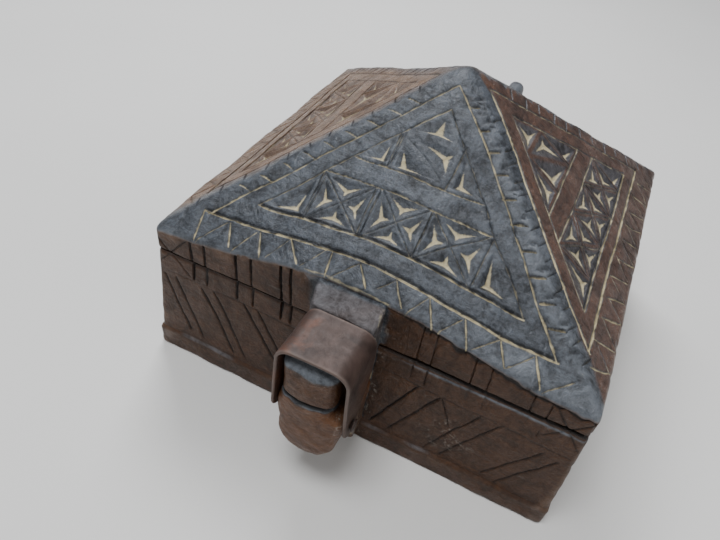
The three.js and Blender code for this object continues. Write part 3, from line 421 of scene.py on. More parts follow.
def plain_layout(half, deep):
    """The same lines on another slope, of that half length and depth, from a few distances: how
    far up from the eave (v) and how far in from the ridges they lie."""
    frame_up, frame_in = 14.2, 12.8
    inner_up, inner_in = 21.6, 25.0
    foot, top = 43.4, 53.0
    post = 14.6

    def reach(v, inward):
        """Half length of a level line at v that stops inward of both ridges."""
        return half * (1 - v / deep) - inward

    def meet(inward):
        """Where two lines that run inward of the ridges meet above the middle."""
        return deep * (1 - inward / half)

    outer, inner = reach(frame_up, frame_in), reach(inner_up, inner_in)
    row, high = reach(foot, inner_in), reach(top, inner_in)
    peak, post_top = meet(inner_in), meet(inner_in + post)
    third = row / 3
    lines = {"frame_base": [(-outer, frame_up), (0, frame_up), (outer, frame_up)],
             "frame_left": [(-outer, frame_up), (0, meet(frame_in))],
             "frame_right": [(0, meet(frame_in)), (outer, frame_up)],
             "inner_base": [(-inner, inner_up), (0, inner_up), (inner, inner_up)],
             "inner_left": [(-inner, inner_up), (0, peak)],
             "inner_right": [(0, peak), (inner, inner_up)],
             "band_foot": [(-row, foot), (0, foot), (row, foot)],
             "band_top": [(-high, top), (0, top), (high, top)]}
    posts = [(u, foot, u, inner_up) for u in (-row, -third, third, row)]
    posts += [(u, post_top, u, top) for u in (-post, post)]
    squares = [(-row + 2 * third * k, -row + 2 * third * (k + 1), foot, foot, inner_up, inner_up)
               for k in range(3)]
    chips = [([(way * row, foot), (way * row, inner_up), (way * inner, inner_up)], (1, 3.2, 1))
             for way in (-1, 1)]
    chips += [([(way * post, post_top), (way * post, top), (way * high, top)], (1, 3, 1))
              for way in (-1, 1)]
    chips += [([(-post, post_top), (-post, top), (post, top)], (1, 3, 1)),
              ([(-post, post_top), (post, post_top), (post, top)], (1, 3, 1)),
              ([(-post, post_top), (post, post_top), (0, peak)], (1, 1, 0.6))]
    turns = 23
    mark = np.linspace(-0.82, 0.82, turns) * half
    high_low = np.where(np.arange(turns) % 2, 1.2, frame_up - 2)
    zigzag = np.stack([mark[:-1], high_low[:-1], mark[1:], high_low[1:]], -1)
    return lines, posts, squares, zigzag, chips


# %% Carve a slope


LINE_CUTS = [("frame_base", 0.95, 1.3, 0.95), ("frame_left", 0.72, 0.95, 0.82),
             ("frame_right", 0.72, 0.95, 0.8), ("inner_base", 0.85, 1.15, 0.85),
             ("inner_left", 0.62, 0.8, 0.66), ("inner_right", 0.6, 0.8, 0.36),
             ("band_foot", 0.66, 0.8, 0.72), ("band_top", 0.66, 0.8, 0.72)]
CHALK_LEFT = [1.0, 1.0, 0.8, 0.62]    # on the front, right, back and left slope


def slope_carving(u, v, side):
    """Depth, chalk and dark of one slope. v is stretched by the slope's rise, so that a line is
    as wide along v as along u. LINE_CUTS gives each line's half width, depth and chalk."""
    half, deep = (HALF_X, HALF_Y) if side % 2 == 0 else (HALF_Y, HALF_X)
    rise = np.hypot(1, (TIP - EAVE) / deep)
    cut = Carving(u, v * rise, 40 + 10 * side)
    front = side == 0
    lines, posts, squares, zigzag, chips = (
        (FRONT_LINES, FRONT_POSTS, FRONT_SQUARES, FRONT_ZIGZAG, FRONT_CHIPS) if front
        else plain_layout(half, deep))
    dusty = CHALK_LEFT[side]

    def lift(points, loose=0.6):
        """Points on the stretched face, off by the loose hand on all slopes but the front."""
        ran = 0 if front else cut.rng.uniform(-loose, loose, (len(points), 2))
        return (np.array(points, float) + ran) * [1, rise]

    for name, half_width, depth, chalk in LINE_CUTS:
        if side == 1 and name in ("frame_base", "frame_left"):
            half_width, depth, chalk = 1.05, 1.35, 1.1
        elif side == 1:
            chalk = max(chalk, 0.62)
        cut.path(lift(lines[name]), half=half_width, depth=depth, chalk=chalk * dusty)
        # A shallow second cut runs just above the frame's base and the inner base; its dark is
        # painted shade along their upper side.
        if name in ("frame_base", "inner_base"):
            cut.path(lift(lines[name], 0.2) + [0, 1.1], half=0.75, depth=0.8, chalk=0, dark=0.85)
    for u0, v0, u1, v1 in zigzag:
        (u0, v0), (u1, v1) = lift([(u0, v0), (u1, v1)], 1.3)
        heavy = 1 if v0 > v1 else 0.72
        cut.line(u0, v0, u1, v1, half=0.72 * heavy, depth=0.9 * heavy,
                 chalk=(0.8 if heavy == 1 else 0.6) * dusty, dark=0.45 if front else 0.2)
    for left, right, top_left, top_right, foot_left, foot_right in squares:
        middle = ((left + right) / 2, (top_left + top_right + foot_left + foot_right) / 4)
        corner = [(left, top_left), (right, top_right), (right, foot_right), (left, foot_left)]
        cut.path(lift([corner[0], corner[2]]), half=0.5, depth=0.6, chalk=0.42 * dusty, dark=0.3)
        cut.path(lift([corner[1], corner[3]]), half=0.5, depth=0.6, chalk=0.34 * dusty, dark=0.3)
        for k in range(4):
            cut.chip(lift([corner[k], corner[(k + 1) % 4], middle]), (1, 1, 1.6), chalk=dusty,
                     inset=0.8)
    for u0, v0, u1, v1 in posts:
        cut.path(lift([(u0, v0), (u1, v1)]), half=0.55, depth=0.7, chalk=0.38 * dusty, dark=0.3)
    for triangle, deepest in chips:
        cut.chip(lift(triangle), deepest, 2.6, chalk=dusty)
    if front:
        cut.path(lift(FRONT_SCRATCH), half=0.4, depth=0.4, chalk=0.2, dark=0.2)
        cut.path(lift(FRONT_EAVE_DUST), half=0.6, depth=0.4, chalk=0.7, dark=0.2)
        cut.path(lift(FRONT_LOOSE_DUST), half=1.5, depth=0.1, chalk=0.42, dark=0.0)
        ridge_strokes_front(cut, rise)
    else:
        ridge_strokes(cut, half, deep, rise)
    return cut


def ridge_strokes(cut, half, deep, rise):
    """Short strokes across the bands beside both ridges, every 5 mm along v at one ridge and
    every 8 mm at the other, as the carver's hand fell."""
    for way, pitch in ((-1, 5.2), (1, 8.0)):
        for v in np.arange(16.0, deep * 0.84, pitch):    # 0.84 stops short of the worn tip
            ran = cut.rng.uniform(-1, 1, 4)
            edge = half * (1 - (v + ran[3]) / deep)
            cut.line(way * (edge - 1.2 + ran[0]), (v + ran[1]) * rise,
                     way * (edge - 8.5 + 1.5 * ran[2]), (v - 3.0 + ran[1]) * rise, half=0.7,
                     depth=0.9, chalk=0.3 if way < 0 else 0.12, dark=0.4)


def ridge_strokes_front(cut, rise):
    """The strokes on the front slope's ridges, where the photograph shows them."""
    for u, v, along in [(8.2, 91.8, 3.0), (17.1, 84.1, 2.8), (25.1, 77.5, 3.5), (32.5, 70.3, 4.2),
                        (40.2, 62.1, 4.0), (48.9, 54.1, 6.0), (57.4, 46.1, 4.5), (65.1, 38.4, 5.0),
                        (73.5, 31.1, 5.0), (81.2, 23.4, 7.0)]:
        cut.line(u, v * rise, u + along + 1.5, (v + 2.4) * rise, half=1.1, depth=1.6, chalk=0.62,
                 dark=0.8)
        cut.line(u + 3.5, (v + 4.2) * rise, u + 7.0, (v + 5.6) * rise, half=0.7, depth=0.8,
                 chalk=0.2, dark=0.5)
    for u, v in [(-81.0, 29.6), (-73.6, 36.4), (-65.0, 44.2), (-57.6, 51.4), (-50.4, 58.6),
                 (-42.6, 66.2), (-34.6, 73.6), (-26.4, 81.4), (-19.0, 88.4)]:
        cut.line(u - 4.5, (v + 1.2) * rise, u + 5.8, (v - 1.4) * rise, half=0.56, depth=0.7,
                 chalk=0.8, dark=0.3)


# %% [markdown]
# ## The cuts on the walls
# The upright band of the lid and the top of the box are cut together: pairs of upright strokes
# cross the parting line, and an X marks each corner. Below them the walls carry pairs of slanting
# strokes under one level line. They hold no chalk and show nearly black.

# %% Strokes of a wall
UPRIGHTS = [(-93.0, 1.0), (-84.8, 0.85), (-66.4, 1.0), (-57.6, 0.85), (-40.9, 1.0), (-35.4, 0.85),
            (31.5, 0.45), (38.4, 0.5), (58.5, 0.52), (66.5, 0.45), (87.0, 0.45), (94.6, 0.5)]
CORNER_X = [(-113.8, 66.5, -94.6, 88.0), (-113.8, 83.0, -94.6, 63.4),
            (97.0, 87.0, 113.6, 64.0), (97.0, 65.0, 113.6, 84.0)]
SLANTS = [(-112.3, 59.5, -96.2, 20.3, 0.75), (-105.0, 59.5, -88.5, 18.8, 0.8),
          (-88.0, 59.5, -68.5, 18.8, 0.95), (-80.0, 60.3, -60.8, 19.5, 0.8),
          (-62.3, 61.0, -36.5, 20.5, 0.9), (-53.8, 60.3, -29.0, 21.0, 0.75),
          (16.9, 17.2, 36.9, 59.5, 0.75), (27.7, 17.2, 48.5, 58.8, 0.65),
          (49.2, 58.8, 57.0, 40.3, 0.55), (48.5, 16.5, 69.2, 58.0, 0.6),
          (57.0, 15.7, 80.0, 58.8, 0.6), (80.0, 17.2, 101.5, 54.0, 0.6),
          (87.7, 15.7, 109.2, 52.6, 0.6)]
LEVELS = [(-112.0, 61.8, -66.0, 61.4, 0.5), (-66.0, 61.4, -24.0, 60.4, 0.6),
          (17.0, 61.8, 58.0, 58.8, 0.55), (58.0, 58.8, 113.0, 57.8, 0.5)]
print("each wall:", len(UPRIGHTS), "upright and", len(SLANTS), "slanting strokes")


def wall_carving(u, z, seed, measured=False):
    """Depth of the strokes of one wall, at places along it and heights, in mm."""
    cut = Carving(u, z, seed)
    loose = 0.0 if measured else 1.4

    def shake(count):
        return cut.rng.uniform(-loose, loose, count)

    for place, heavy in UPRIGHTS:
        a, b, c = shake(3)
        cut.line(place + a, 112, place + 0.6 + b, 62.4 + c, half=0.84 * heavy, depth=1.5 * heavy,
                 chalk=0, dark=1.1 * heavy)
    for u0, z0, u1, z1 in CORNER_X:
        a, b, c, d = shake(4) * 0.6
        cut.line(u0 + a, z0 + b, u1 + c, z1 + d, half=0.6, depth=0.6, chalk=0, dark=0.6)
    for u0, z0, u1, z1, heavy in SLANTS:
        a, b, c, d = shake(4)
        cut.line(u0 + a, z0 + b * 0.5, u1 + c, z1 + d * 0.5, half=0.86 * heavy, depth=1.4 * heavy,
                 chalk=0, dark=1.4 * heavy)
    for u0, z0, u1, z1, heavy in LEVELS:
        cut.line(u0, z0, u1, z1, half=0.8 * heavy, depth=0.6 * heavy, chalk=0, dark=0.6)
    return cut


# %% [markdown]
# ## The lid
# The top of the lid is a height over a plan: at each place the lower of the two slopes that pass
# over it, with the ridges worn round. That is a grid. Its edge goes on downwards as the upright
# band, turns in under the lid and goes up the hollow, so the lid is one closed skin. The cuts are
# taken out of it, and then flat parts give up the triangles that they do not need.

# %% Sizes of the lid
RIM = 74.5             # top of the box's walls
LID_FOOT = RIM + 0.3   # foot of the lid's band
ARCH = 16.5            # the front and back eaves rise by this much in the middle
RIDGE_WEAR = 3.4       # how far apart in height two slopes start to blend
EAVE_WEAR = 1.7        # radius of the worn eave
CORNER_WEAR = 2.6      # radius of the worn corners, seen from above
CUT_DEEPER = 1.15      # depths are square to the slope, and straight down they are larger
CHALK_THICK = 0.22     # how thick the chalk lies in the cuts
HOLLOW_FOOT = np.array((100.0, 95.6))   # half sizes of the hollow at its mouth
HOLLOW_TOP = np.array((61.8, 57.8))     # and at its ceiling
CEILING = 111.8
STEP = 0.42            # between neighbouring points of the slopes


def roof(x, y):
    """Height of the lid: the front and side slopes run straight from the eave to the tip; the
    lower one counts, and where they are within RIDGE_WEAR of each other a parabola blends them."""
    far_x = np.sqrt(x ** 2 + 5) / HALF_X
    far_y = np.sqrt(y ** 2 + 5) / HALF_Y
    foot = np.clip(x / far_y, -HALF_X, HALF_X)
    arch = ARCH * np.cos(np.pi * foot / (2 * HALF_X)) ** 2
    front = EAVE + (TIP - EAVE) * (1 - far_y) + arch * far_y
    side = EAVE + (TIP - EAVE) * (1 - far_x)
    near = np.clip(0.5 + 0.5 * (side - front) / RIDGE_WEAR, 0, 1)
    return side + (front - side) * near - RIDGE_WEAR * near * (1 - near)


def worn_corner(x, y, half_x, half_y, radius):
    """Plan places moved so that square corners become round: the square at each corner is
    squeezed onto a quarter disc of the same radius."""
    a = np.maximum(radius - (half_x - np.abs(x)), 0)
    b = np.maximum(radius - (half_y - np.abs(y)), 0)
    pull = np.where((a > 0) & (b > 0), np.maximum(a, b) / np.maximum(np.hypot(a, b), 1e-9), 1)
    return x - np.sign(x) * a * (1 - pull), y - np.sign(y) * b * (1 - pull)


# %% The slopes


def four_sides(x, y, half_x, half_y):
    """For each point the side it belongs to (0 front, 1 right, 2 back, 3 left), its place along
    that side and its distance from the side's edge, seen from above."""
    front = np.abs(y) / half_y >= np.abs(x) / half_x
    side = np.where(front, np.where(y < 0, 0, 2), np.where(x > 0, 1, 3))
    along = np.choose(side, [x, y, -x, -y])
    inward = np.where(front, half_y - np.abs(y), half_x - np.abs(x))
    return side, along, inward


# Dips of the right front ridge, as distances outwards from the tip
KNOTS = (12.0, 20.5, 28.5, 36.0, 43.8, 53.0, 61.0, 69.0, 77.5, 86.0, 94.5)


def ridge_notches(x, y):
    """Dips across each ridge, in mm: the right front ridge is knotted like a rope, as the strokes
    of both of its slopes meet there; the left front one is nearly smooth, and the rear ones are
    nicked."""
    ridge = np.abs(np.abs(x) / HALF_X - np.abs(y) / HALF_Y) * 78
    out = (np.abs(x) / HALF_X + np.abs(y) / HALF_Y) * HALF_X / 2
    right_front = (x > 0) & (y < 0)
    total = np.zeros(len(x))
    for place in KNOTS:
        dip = smooth(1.3, 0.1, np.abs(out - place)) * smooth(5.0, 0.5, ridge)
        total = np.maximum(total, dip * right_front * 0.8)
    drift = 0.6 * uneven(np.stack([x, y, x], -1), 30, 23)
    wave = np.clip(np.cos(out * 2 * np.pi / 7.6 + drift), 0, 1) ** 6 * smooth(4.5, 1.0, ridge)
    return np.maximum(total, wave * ~right_front * np.where((x < 0) & (y < 0), 0.2, 0.6))


def plan_grid():
    """Places x and y of the grid over the lid's plan, and its number of rows and columns."""
    nx, ny = int(2 * HALF_X / STEP) + 1, int(2 * HALF_Y / STEP) + 1
    x, y = np.meshgrid(np.linspace(-HALF_X, HALF_X, nx), np.linspace(-HALF_Y, HALF_Y, ny),
                       indexing="ij")
    return x.ravel(), y.ravel(), (nx, ny)


def eave_loss(x, side, edge, flat):
    """What is gone at the eave, in mm: its round, and splinters that broke off, mostly on the
    right half of the front and on the right side."""
    in_round = np.maximum(EAVE_WEAR - edge, 0)
    drop = EAVE_WEAR - np.sqrt(EAVE_WEAR ** 2 - in_round ** 2)
    chipped = np.clip(uneven(flat, 9, 21) - 0.15, 0, 1) * smooth(2.6, 0, edge)
    ragged = np.where(side == 0, 0.25 + 0.75 * smooth(-10, 25, x), np.where(side == 1, 0.8, 0.3))
    return drop, 1.5 * chipped * ragged


def slope_wear_and_sheen(x, y, side, inward, edge, flat, notch, dark):
    """How pale the slopes are, 0 to 1: rubbed wear with a painted highlight on the ridges, most on
    the right front one, and at the eave; and a painted sheen along the lower and the right edge of
    the front slope."""
    ridge = np.abs(np.abs(x) / HALF_X - np.abs(y) / HALF_Y) * 100
    much = np.where((x > 0) & (y < 0), 0.8 * smooth(0, 60, x), 0.12)
    on_ridge = smooth(7, 0, ridge) * much * (1 - np.clip(notch, 0, 1))
    wear_and_sheen = np.maximum(on_ridge, smooth(2.8, 0, edge) * 0.7)
    held = np.maximum(smooth(16, 7, inward), smooth(14, 6, ridge) * 0.7)
    # A painted sheen over the lower edge and the ridges of the front slope, growing towards the
    # right.
    painted_sheen = smooth(-5, 70, x) * (side == 0) * held
    return np.maximum(wear_and_sheen, painted_sheen * (0.52 + 0.22 * uneven(flat, 14, 25)) * (1 - dark))


def lid_top():
    """The grid of the slopes: its points, its shape, and what the finish needs at each point. The
    height is that of the roof, less the cuts, the splinters and the notches, plus the chalk."""
    x, y, shape = plan_grid()
    side, along, inward = four_sides(x, y, HALF_X, HALF_Y)
    depth, chalk, dark = (np.zeros(len(x)) for _ in range(3))
    for k in range(4):
        at = np.flatnonzero(side == k)
        cut = slope_carving(along[at], inward[at], k)
        depth[at], chalk[at], dark[at] = cut.depth, cut.chalk, cut.dark
    edge = np.minimum(HALF_X - np.abs(x), HALF_Y - np.abs(y))
    flat = np.stack([x, y, 0 * x], -1)
    drop, splinters = eave_loss(x, side, edge, flat)
    notch = ridge_notches(x, y)
    z = roof(x, y) - drop - depth * CUT_DEEPER + CHALK_THICK * chalk - splinters - notch
    dark = np.maximum(dark, np.clip(notch / 1.3, 0, 1) * 0.55)
    # The slopes' worn value: rubbed wear with painted highlights, and a painted sheen on the front
    # slope.
    worn = slope_wear_and_sheen(x, y, side, inward, edge, flat, notch, dark)
    px, py = worn_corner(x, y, HALF_X, HALF_Y, CORNER_WEAR)
    values = {"depth": depth, "chalk": chalk, "dark": dark, "worn": worn, "below": -edge}
    return np.stack([px, py, z], -1), shape, values


top_points, top_shape, top_values = lid_top()
print("slopes:", top_shape, "deepest cut", top_values["depth"].max().round(2), "mm; chalk on",
      round(float((top_values["chalk"] > 0.5).mean()) * 100, 1), "%")

# %% The whole lid
WALL_TONE = 0.74       # how brown the walls are: 0 is black, 1 the bare brown


def seam_wear(plan):
    """How far the lid's lower edge and the rim of the box are rubbed back, in mm: little on the
    left of the front, most on the right of it, where the lid is pulled up."""
    right = smooth(5, 40, plan[..., 0]) * (plan[..., 1] < 0)
    level = np.stack([plan[..., 0], plan[..., 1], 0 * plan[..., 0]], -1)
    return 0.55 + right * np.clip(0.75 + 0.45 * uneven(level, 24, 27), 0.2, 1.3)


# The points of the slopes' grid that lie on the eave, in order round it
grid_index = np.arange(top_shape[0] * top_shape[1]).reshape(top_shape)
EAVE_LOOP = np.concatenate([grid_index[:-1, 0], grid_index[-1, :-1], grid_index[:0:-1, -1],
                            grid_index[0, :0:-1]])


def lid_band():
    """Rings from the eave down to the lid's foot, and their values. Each point stands below one
    of the eave, set back by the strokes, by the wear, by the groove that runs round the foot, and
    on the right half of the front by the hollow under the eave."""
    plan = top_points[EAVE_LOOP]
    raw = np.stack(plan_grid()[:2], -1)[EAVE_LOOP]
    out = np.stack([np.abs(np.abs(raw[:, 0]) - HALF_X) < 1e-6,
                    np.abs(np.abs(raw[:, 1]) - HALF_Y) < 1e-6], -1) * np.sign(raw)
    out /= np.linalg.norm(out, axis=1)[:, None]
    on_x = np.abs(out[:, 0]) > np.abs(out[:, 1])
    along = np.where(on_x, raw[:, 1] * np.sign(out[:, 0]), -raw[:, 0] * np.sign(out[:, 1]))
    wall = np.where(on_x, np.where(out[:, 0] > 0, 1, 3), np.where(out[:, 1] > 0, 2, 0))
    share = np.concatenate([np.linspace(0, 0.9, 44)[1:], [0.93, 0.955, 0.975, 0.99, 1.0]])
    z = plan[:, 2] + (LID_FOOT - plan[:, 2]) * share[:, None]
    above_foot, below_eave = z - LID_FOOT, plan[:, 2] - z
    depth, dark = np.zeros(z.shape), np.zeros(z.shape)
    for k in range(4):
        at = np.flatnonzero(wall == k)
        cut = wall_carving(np.tile(along[at], len(share)), z[:, at].ravel(), 140 + 10 * k, k == 0)
        depth[:, at] = cut.depth.reshape(len(share), -1)
        dark[:, at] = cut.dark.reshape(len(share), -1)
    level = np.column_stack([raw, 0 * raw[:, 0]])
    right = smooth(5, 30, raw[:, 0]) * np.where(wall == 0, 1, 0.3 * (wall == 1))
    groove_high = 0.95 + 0.75 * right + 0.2 * uneven(level, 16, 28)
    groove = smooth(1.2, 0.8, above_foot / groove_high)
    reach = ((2.0 + 1.3 * uneven(level, 6, 29)) * right).clip(0.05)
    under = smooth(1.25, 0.75, below_eave / reach) * right
    worn = smooth(2.4, 0, above_foot) ** 2 * seam_wear(raw) + groove * (0.8 + 0.4 * right)
    inset = depth + worn + 0.9 * under
    band = np.concatenate([plan[None, :, :2] - out[None] * inset[..., None], z[..., None]], -1)
    # The groove round the foot and the hollow under the eave are painted near black: painted shade
    # in them.
    values = {"depth": depth, "chalk": np.zeros(z.shape), "below": below_eave,
              "dark": np.maximum(dark, 0.95 * np.maximum(groove, under)),
              "worn": 0.12 * smooth(3.5, 1.8, above_foot)}
    return band, raw, values


def lid_hollow(raw):
    """Rings of the inside: in under the foot, up the leaning sides, and in over the ceiling."""
    size = np.array([HALF_X, HALF_Y])
    lip = size - 0.8
    foot = [(lip + (HOLLOW_FOOT - lip) * t, LID_FOOT) for t in np.linspace(0.28, 1, 6)]
    sides = [(HOLLOW_FOOT + (HOLLOW_TOP - HOLLOW_FOOT) * t, LID_FOOT + (CEILING - LID_FOOT) * t)
             for t in np.linspace(0, 1, 14)[1:]]
    ceiling = [(HOLLOW_TOP * t, CEILING) for t in (0.66, 0.33)]
    return np.array([np.column_stack([raw / size * half, np.full(len(raw), z)])
                     for half, z in foot + sides + ceiling])


def lid_faces(count, around):
    """Quads of the slopes and of the rings that hang from the eave, and the fan over the last."""
    base = len(top_points)
    here = np.concatenate([EAVE_LOOP[None],
                           base + np.arange(count * around).reshape(count, around)])
    beside = np.roll(here, -1, 1)
    quads = np.stack([here[:-1], here[1:], beside[1:], beside[:-1]], -1).reshape(-1, 4)
    slopes = np.stack([grid_index[:-1, :-1], grid_index[1:, :-1], grid_index[1:, 1:],
                       grid_index[:-1, 1:]], -1).reshape(-1, 4)
    last = np.full(around, base + count * around)
    return [quads, slopes, np.stack([last, beside[-1], here[-1]], -1)]


def lid_skin():
    """One closed skin: slopes, upright band, foot and hollow. The outside is moved by long waves,
    and its height by shorter ones, which are weaker in the cuts."""
    band, raw, band_values = lid_band()
    inner = lid_hollow(raw)
    rings = np.concatenate([band, inner])
    points = np.concatenate([top_points, rings.reshape(-1, 3), [[0, 0, CEILING]]])
    blank = np.zeros(inner.shape[0] * len(raw) + 1)
    values = {key: np.concatenate([top_values[key], band_values[key].ravel(), blank])
              for key in top_values}
    depth = values.pop("depth")
    outer = np.concatenate([np.ones(len(points) - len(blank)), blank])
    values["below"] += 20 * (1 - outer)
    values["tone"] = WALL_TONE * outer
    values["inside"] = 1 - outer
    hand = outer * (1 - 0.6 * np.clip(depth / 1.2, 0, 1)) * (points[:, 2] > 80)
    up = (0.4 * uneven(points, 34, 13) + 0.13 * uneven(points, 7, 14)) * hand
    points = points + np.stack([0.45 * uneven(points, 75, 11) * outer,
                                0.45 * uneven(points, 75, 12) * outer, up], -1)
    return points, outward(points, lid_faces(*rings.shape[:2])), values


lid_shell = lid_skin()
print("lid:", len(lid_shell[0]), "points before thinning")

# %% [markdown]
# ## Tongues, blocks and ears
# The lugs in front and behind are cut from the same blocks as the box and the lid. Each is a
# rounded profile carried along one axis, and each profile may change on the way: that gives the
# blocks that widen towards the wall, and the noses that close like the end of a finger. They are
# grown into the box and the lid afterwards, because the real ones are one piece of wood.

# %% A profile with rounded corners


def rounded(count=96):
    """A ring with four straight sides and four quarter rounds: for each point, the place of the
    round's centre as a share of the half sizes, and the direction from there to the point."""
    side, turn = count // 6, count // 12
    core, way = [], []
    signs = np.array([(1, 1), (-1, 1), (-1, -1), (1, -1)], float)
    for k, (here, after) in enumerate(zip(signs, np.roll(signs, -1, 0))):
        angle = (k + np.linspace(0, 1, turn + 1)) * np.pi / 2
        share = np.linspace(0, 1, side + 2)[1:-1, None]
        core += [np.tile(here, (turn + 1, 1)), here + (after - here) * share]
        way += [np.stack([np.cos(angle), np.sin(angle)], -1),
                np.tile([np.cos(angle[-1]), np.sin(angle[-1])], (side, 1))]
    return np.concatenate(core), np.concatenate(way)


def profile(a0, a1, b0, b1, radius, count=96):
    """Points (a, b) of rectangles with rounded corners; each argument may be a column, one row
    for each profile along the path."""
    core, way = rounded(count)
    a0, a1, b0, b1, radius = (np.broadcast_to(np.asarray(v, float), np.shape(a0) or (1,))
                              for v in (a0, a1, b0, b1, radius))
    half = np.stack([(a1 - a0) / 2, (b1 - b0) / 2], -1)[:, None]
    middle = np.stack([(a1 + a0) / 2, (b1 + b0) / 2], -1)[:, None]
    r = np.minimum(radius[:, None, None], half.min(-1, keepdims=True) * 0.98)
    return middle + (half - r) * core + r * way


def carried(path, pairs, order):
    """Rings of 3-D points from profiles (a, b) at places along a path; order says which axes of
    space a, b and the path are, such as (0, 2, 1) for x, z and y."""
    rings = np.empty(pairs.shape[:2] + (3,))
    rings[..., order[0]], rings[..., order[1]] = pairs[..., 0], pairs[..., 1]
    rings[..., order[2]] = np.broadcast_to(np.asarray(path, float)[:, None], pairs.shape[:2])
    return rings


def wood_values(points, tone, worn=0.0, dark=0.0, inside=0.0, chalk=0.0):
    """The values of the wood's finish for a lug; each is one number or one for each point."""
    given = {"chalk": chalk, "dark": dark, "tone": tone, "worn": worn, "inside": inside,
             "below": 20.0}
    return {key: np.broadcast_to(value, len(points)).astype(float) for key, value in given.items()}


def hand_cut(points, seed, amount=0.25):
    """Points moved a little along each axis by waves of 14 mm and of 5 mm."""
    moved = np.stack([uneven(points, 14, seed + k) + 0.45 * uneven(points, 5, seed + 5 + k)
                      for k in range(3)], -1)
    return points + moved * amount


print("a profile has", len(rounded()[0]), "points")

# %% The lid's front block and tongue
BLOCK_TOP = 103.0
BLOCK_FRONT = -127.6
BLOCK_LEFT, BLOCK_RIGHT = (-21.5, -16.7), (13.2, 14.6)   # at the wall, and at the block's front


def front_block(z0, z1, seed, tone, top_wear):
    """A block let into the wall. It gets narrower towards the front on the left, and its right
    edge is rubbed pale. The last places along y draw its edges in, which rounds its front."""
    y = np.array([-103, -107, -HALF_Y, -114, -118, -122, -125, -126.4, -127.1, -127.5,
                  BLOCK_FRONT])
    soft = np.array([0, 0, 0, 0, 0, 0, 0, 0.15, 0.6, 1.3, 2.6])
    reach = [HALF_Y, -BLOCK_FRONT]
    left, right = (np.interp(-y, reach, side) for side in (BLOCK_LEFT, BLOCK_RIGHT))
    pairs = profile(left + soft, right - soft, z0 + soft * 0.4, z1 - soft, 1.9 + 0 * y)
    points, faces = skin(carried(y, pairs, (0, 2, 1)))
    right_edge = np.interp(-points[:, 1], reach, BLOCK_RIGHT)
    edge = smooth(2.6, 0.3, np.abs(points[:, 0] - right_edge))
    top = smooth(z1 - 2.5, z1 - 0.3, points[:, 2])
    pale = np.clip(uneven(points, 8, seed) * 0.6 + uneven(points, 3, seed + 9) * 0.6, 0, 1)
    flank = smooth(11.8, 12.8, points[:, 0]) * smooth(z1 - 1, z1 - 4, points[:, 2])
    dust = np.maximum(edge * 0.5, flank * 0.8) * smooth(0.35, 0.75, pale)
    worn = np.clip(top_wear * top + edge * (0.35 + 0.5 * pale), 0, 1)
    # A dark band at the height of the seam between lid and box: painted shade.
    seam_shade = 0.8 * smooth(1.6, 0.4, np.abs(points[:, 2] - (RIM + 0.1)))
    values = wood_values(points, tone, worn, dark=seam_shade, chalk=dust)
    return hand_cut(points, seed, 0.22), faces, values


NOSE = -156.8          # how far forward the tongues reach
BOW = 2.4              # how far their front is bowed


def tongue_plan(z, left, right, nose, rear, radius):
    """Plans of a tongue at rising heights: rectangles with round corners whose front side is
    bowed: it falls back with the square of the distance from the middle."""
    pairs = profile(left, right, nose, rear, radius, 144)
    middle, half = (left + right)[:, None] / 2, (right - left)[:, None] / 2
    bow = BOW * ((pairs[..., 0] - middle) / half) ** 2
    front = smooth(-143, -153, pairs[..., 1]) * (half > 6)
    pairs[..., 1] += bow * front
    return pairs


def upper_tongue():
    """The lid's tongue: a blunt bowed front up to a crease at 95 mm, above which thumbs have
    worn a sloping facet; the flanks are rounded over, and the lower edge is nearly sharp."""
    shoulder, radius = 96.0, 5.2
    foot = [LID_FOOT, 75.2, 75.9, 77]
    crease = [93.4, 94.3, 95, 95.7]
    z = np.concatenate([foot, np.linspace(79, 92, 10), crease,
                        shoulder + radius * np.sin(np.linspace(0.1, np.pi / 2, 14))])
    lower = np.interp(z, foot, [1.9, 1.3, 0.6, 0.1])
    above = np.maximum(z - shoulder, 0)
    over = radius - np.sqrt(np.maximum(radius ** 2 - above ** 2, 0.02))
    facet = np.interp(z, crease + [shoulder + radius], [0, 0.25, 0.9, 1.9, 10.4])
    pairs = tongue_plan(z, -14.9 + lower * 0.6 + over, 11.5 - lower * 0.6 - over,
                        NOSE + lower + facet, -122 + 0 * z, 4.2 + 0 * z)
    points, faces = skin(carried(z, pairs, (0, 1, 2)))
    wave = 1.2 * uneven(points, 9, 91)
    # The worn facet is rubbed pale, and its blue-grey is partly a painted reflection of a bluish
    # sky.
    worn = smooth(-138, -147, points[:, 1]) * smooth(93.0, 94.6, points[:, 2] + wave)
    scuffed = 0.25 * smooth(0.2, 0.9, uneven(points, 7, 94)) * (points[:, 1] < -150)
    # Near black at the tongue's foot, by the seam: painted shade.
    dark = 0.95 * smooth(76.7, 75.6, points[:, 2] + 0.5 * uneven(points, 13, 95))
    values = wood_values(points, 0.80 - 0.72 * worn, np.maximum(worn * 0.62, scuffed), dark)
    return hand_cut(points, 90, 0.32), faces, values


# %% The lid's rear block and knuckle
PIN_X, PIN_Y, PIN_Z = pivot("lid_hinge")
print("the lid turns about y", PIN_Y, "mm and z", PIN_Z, "mm")


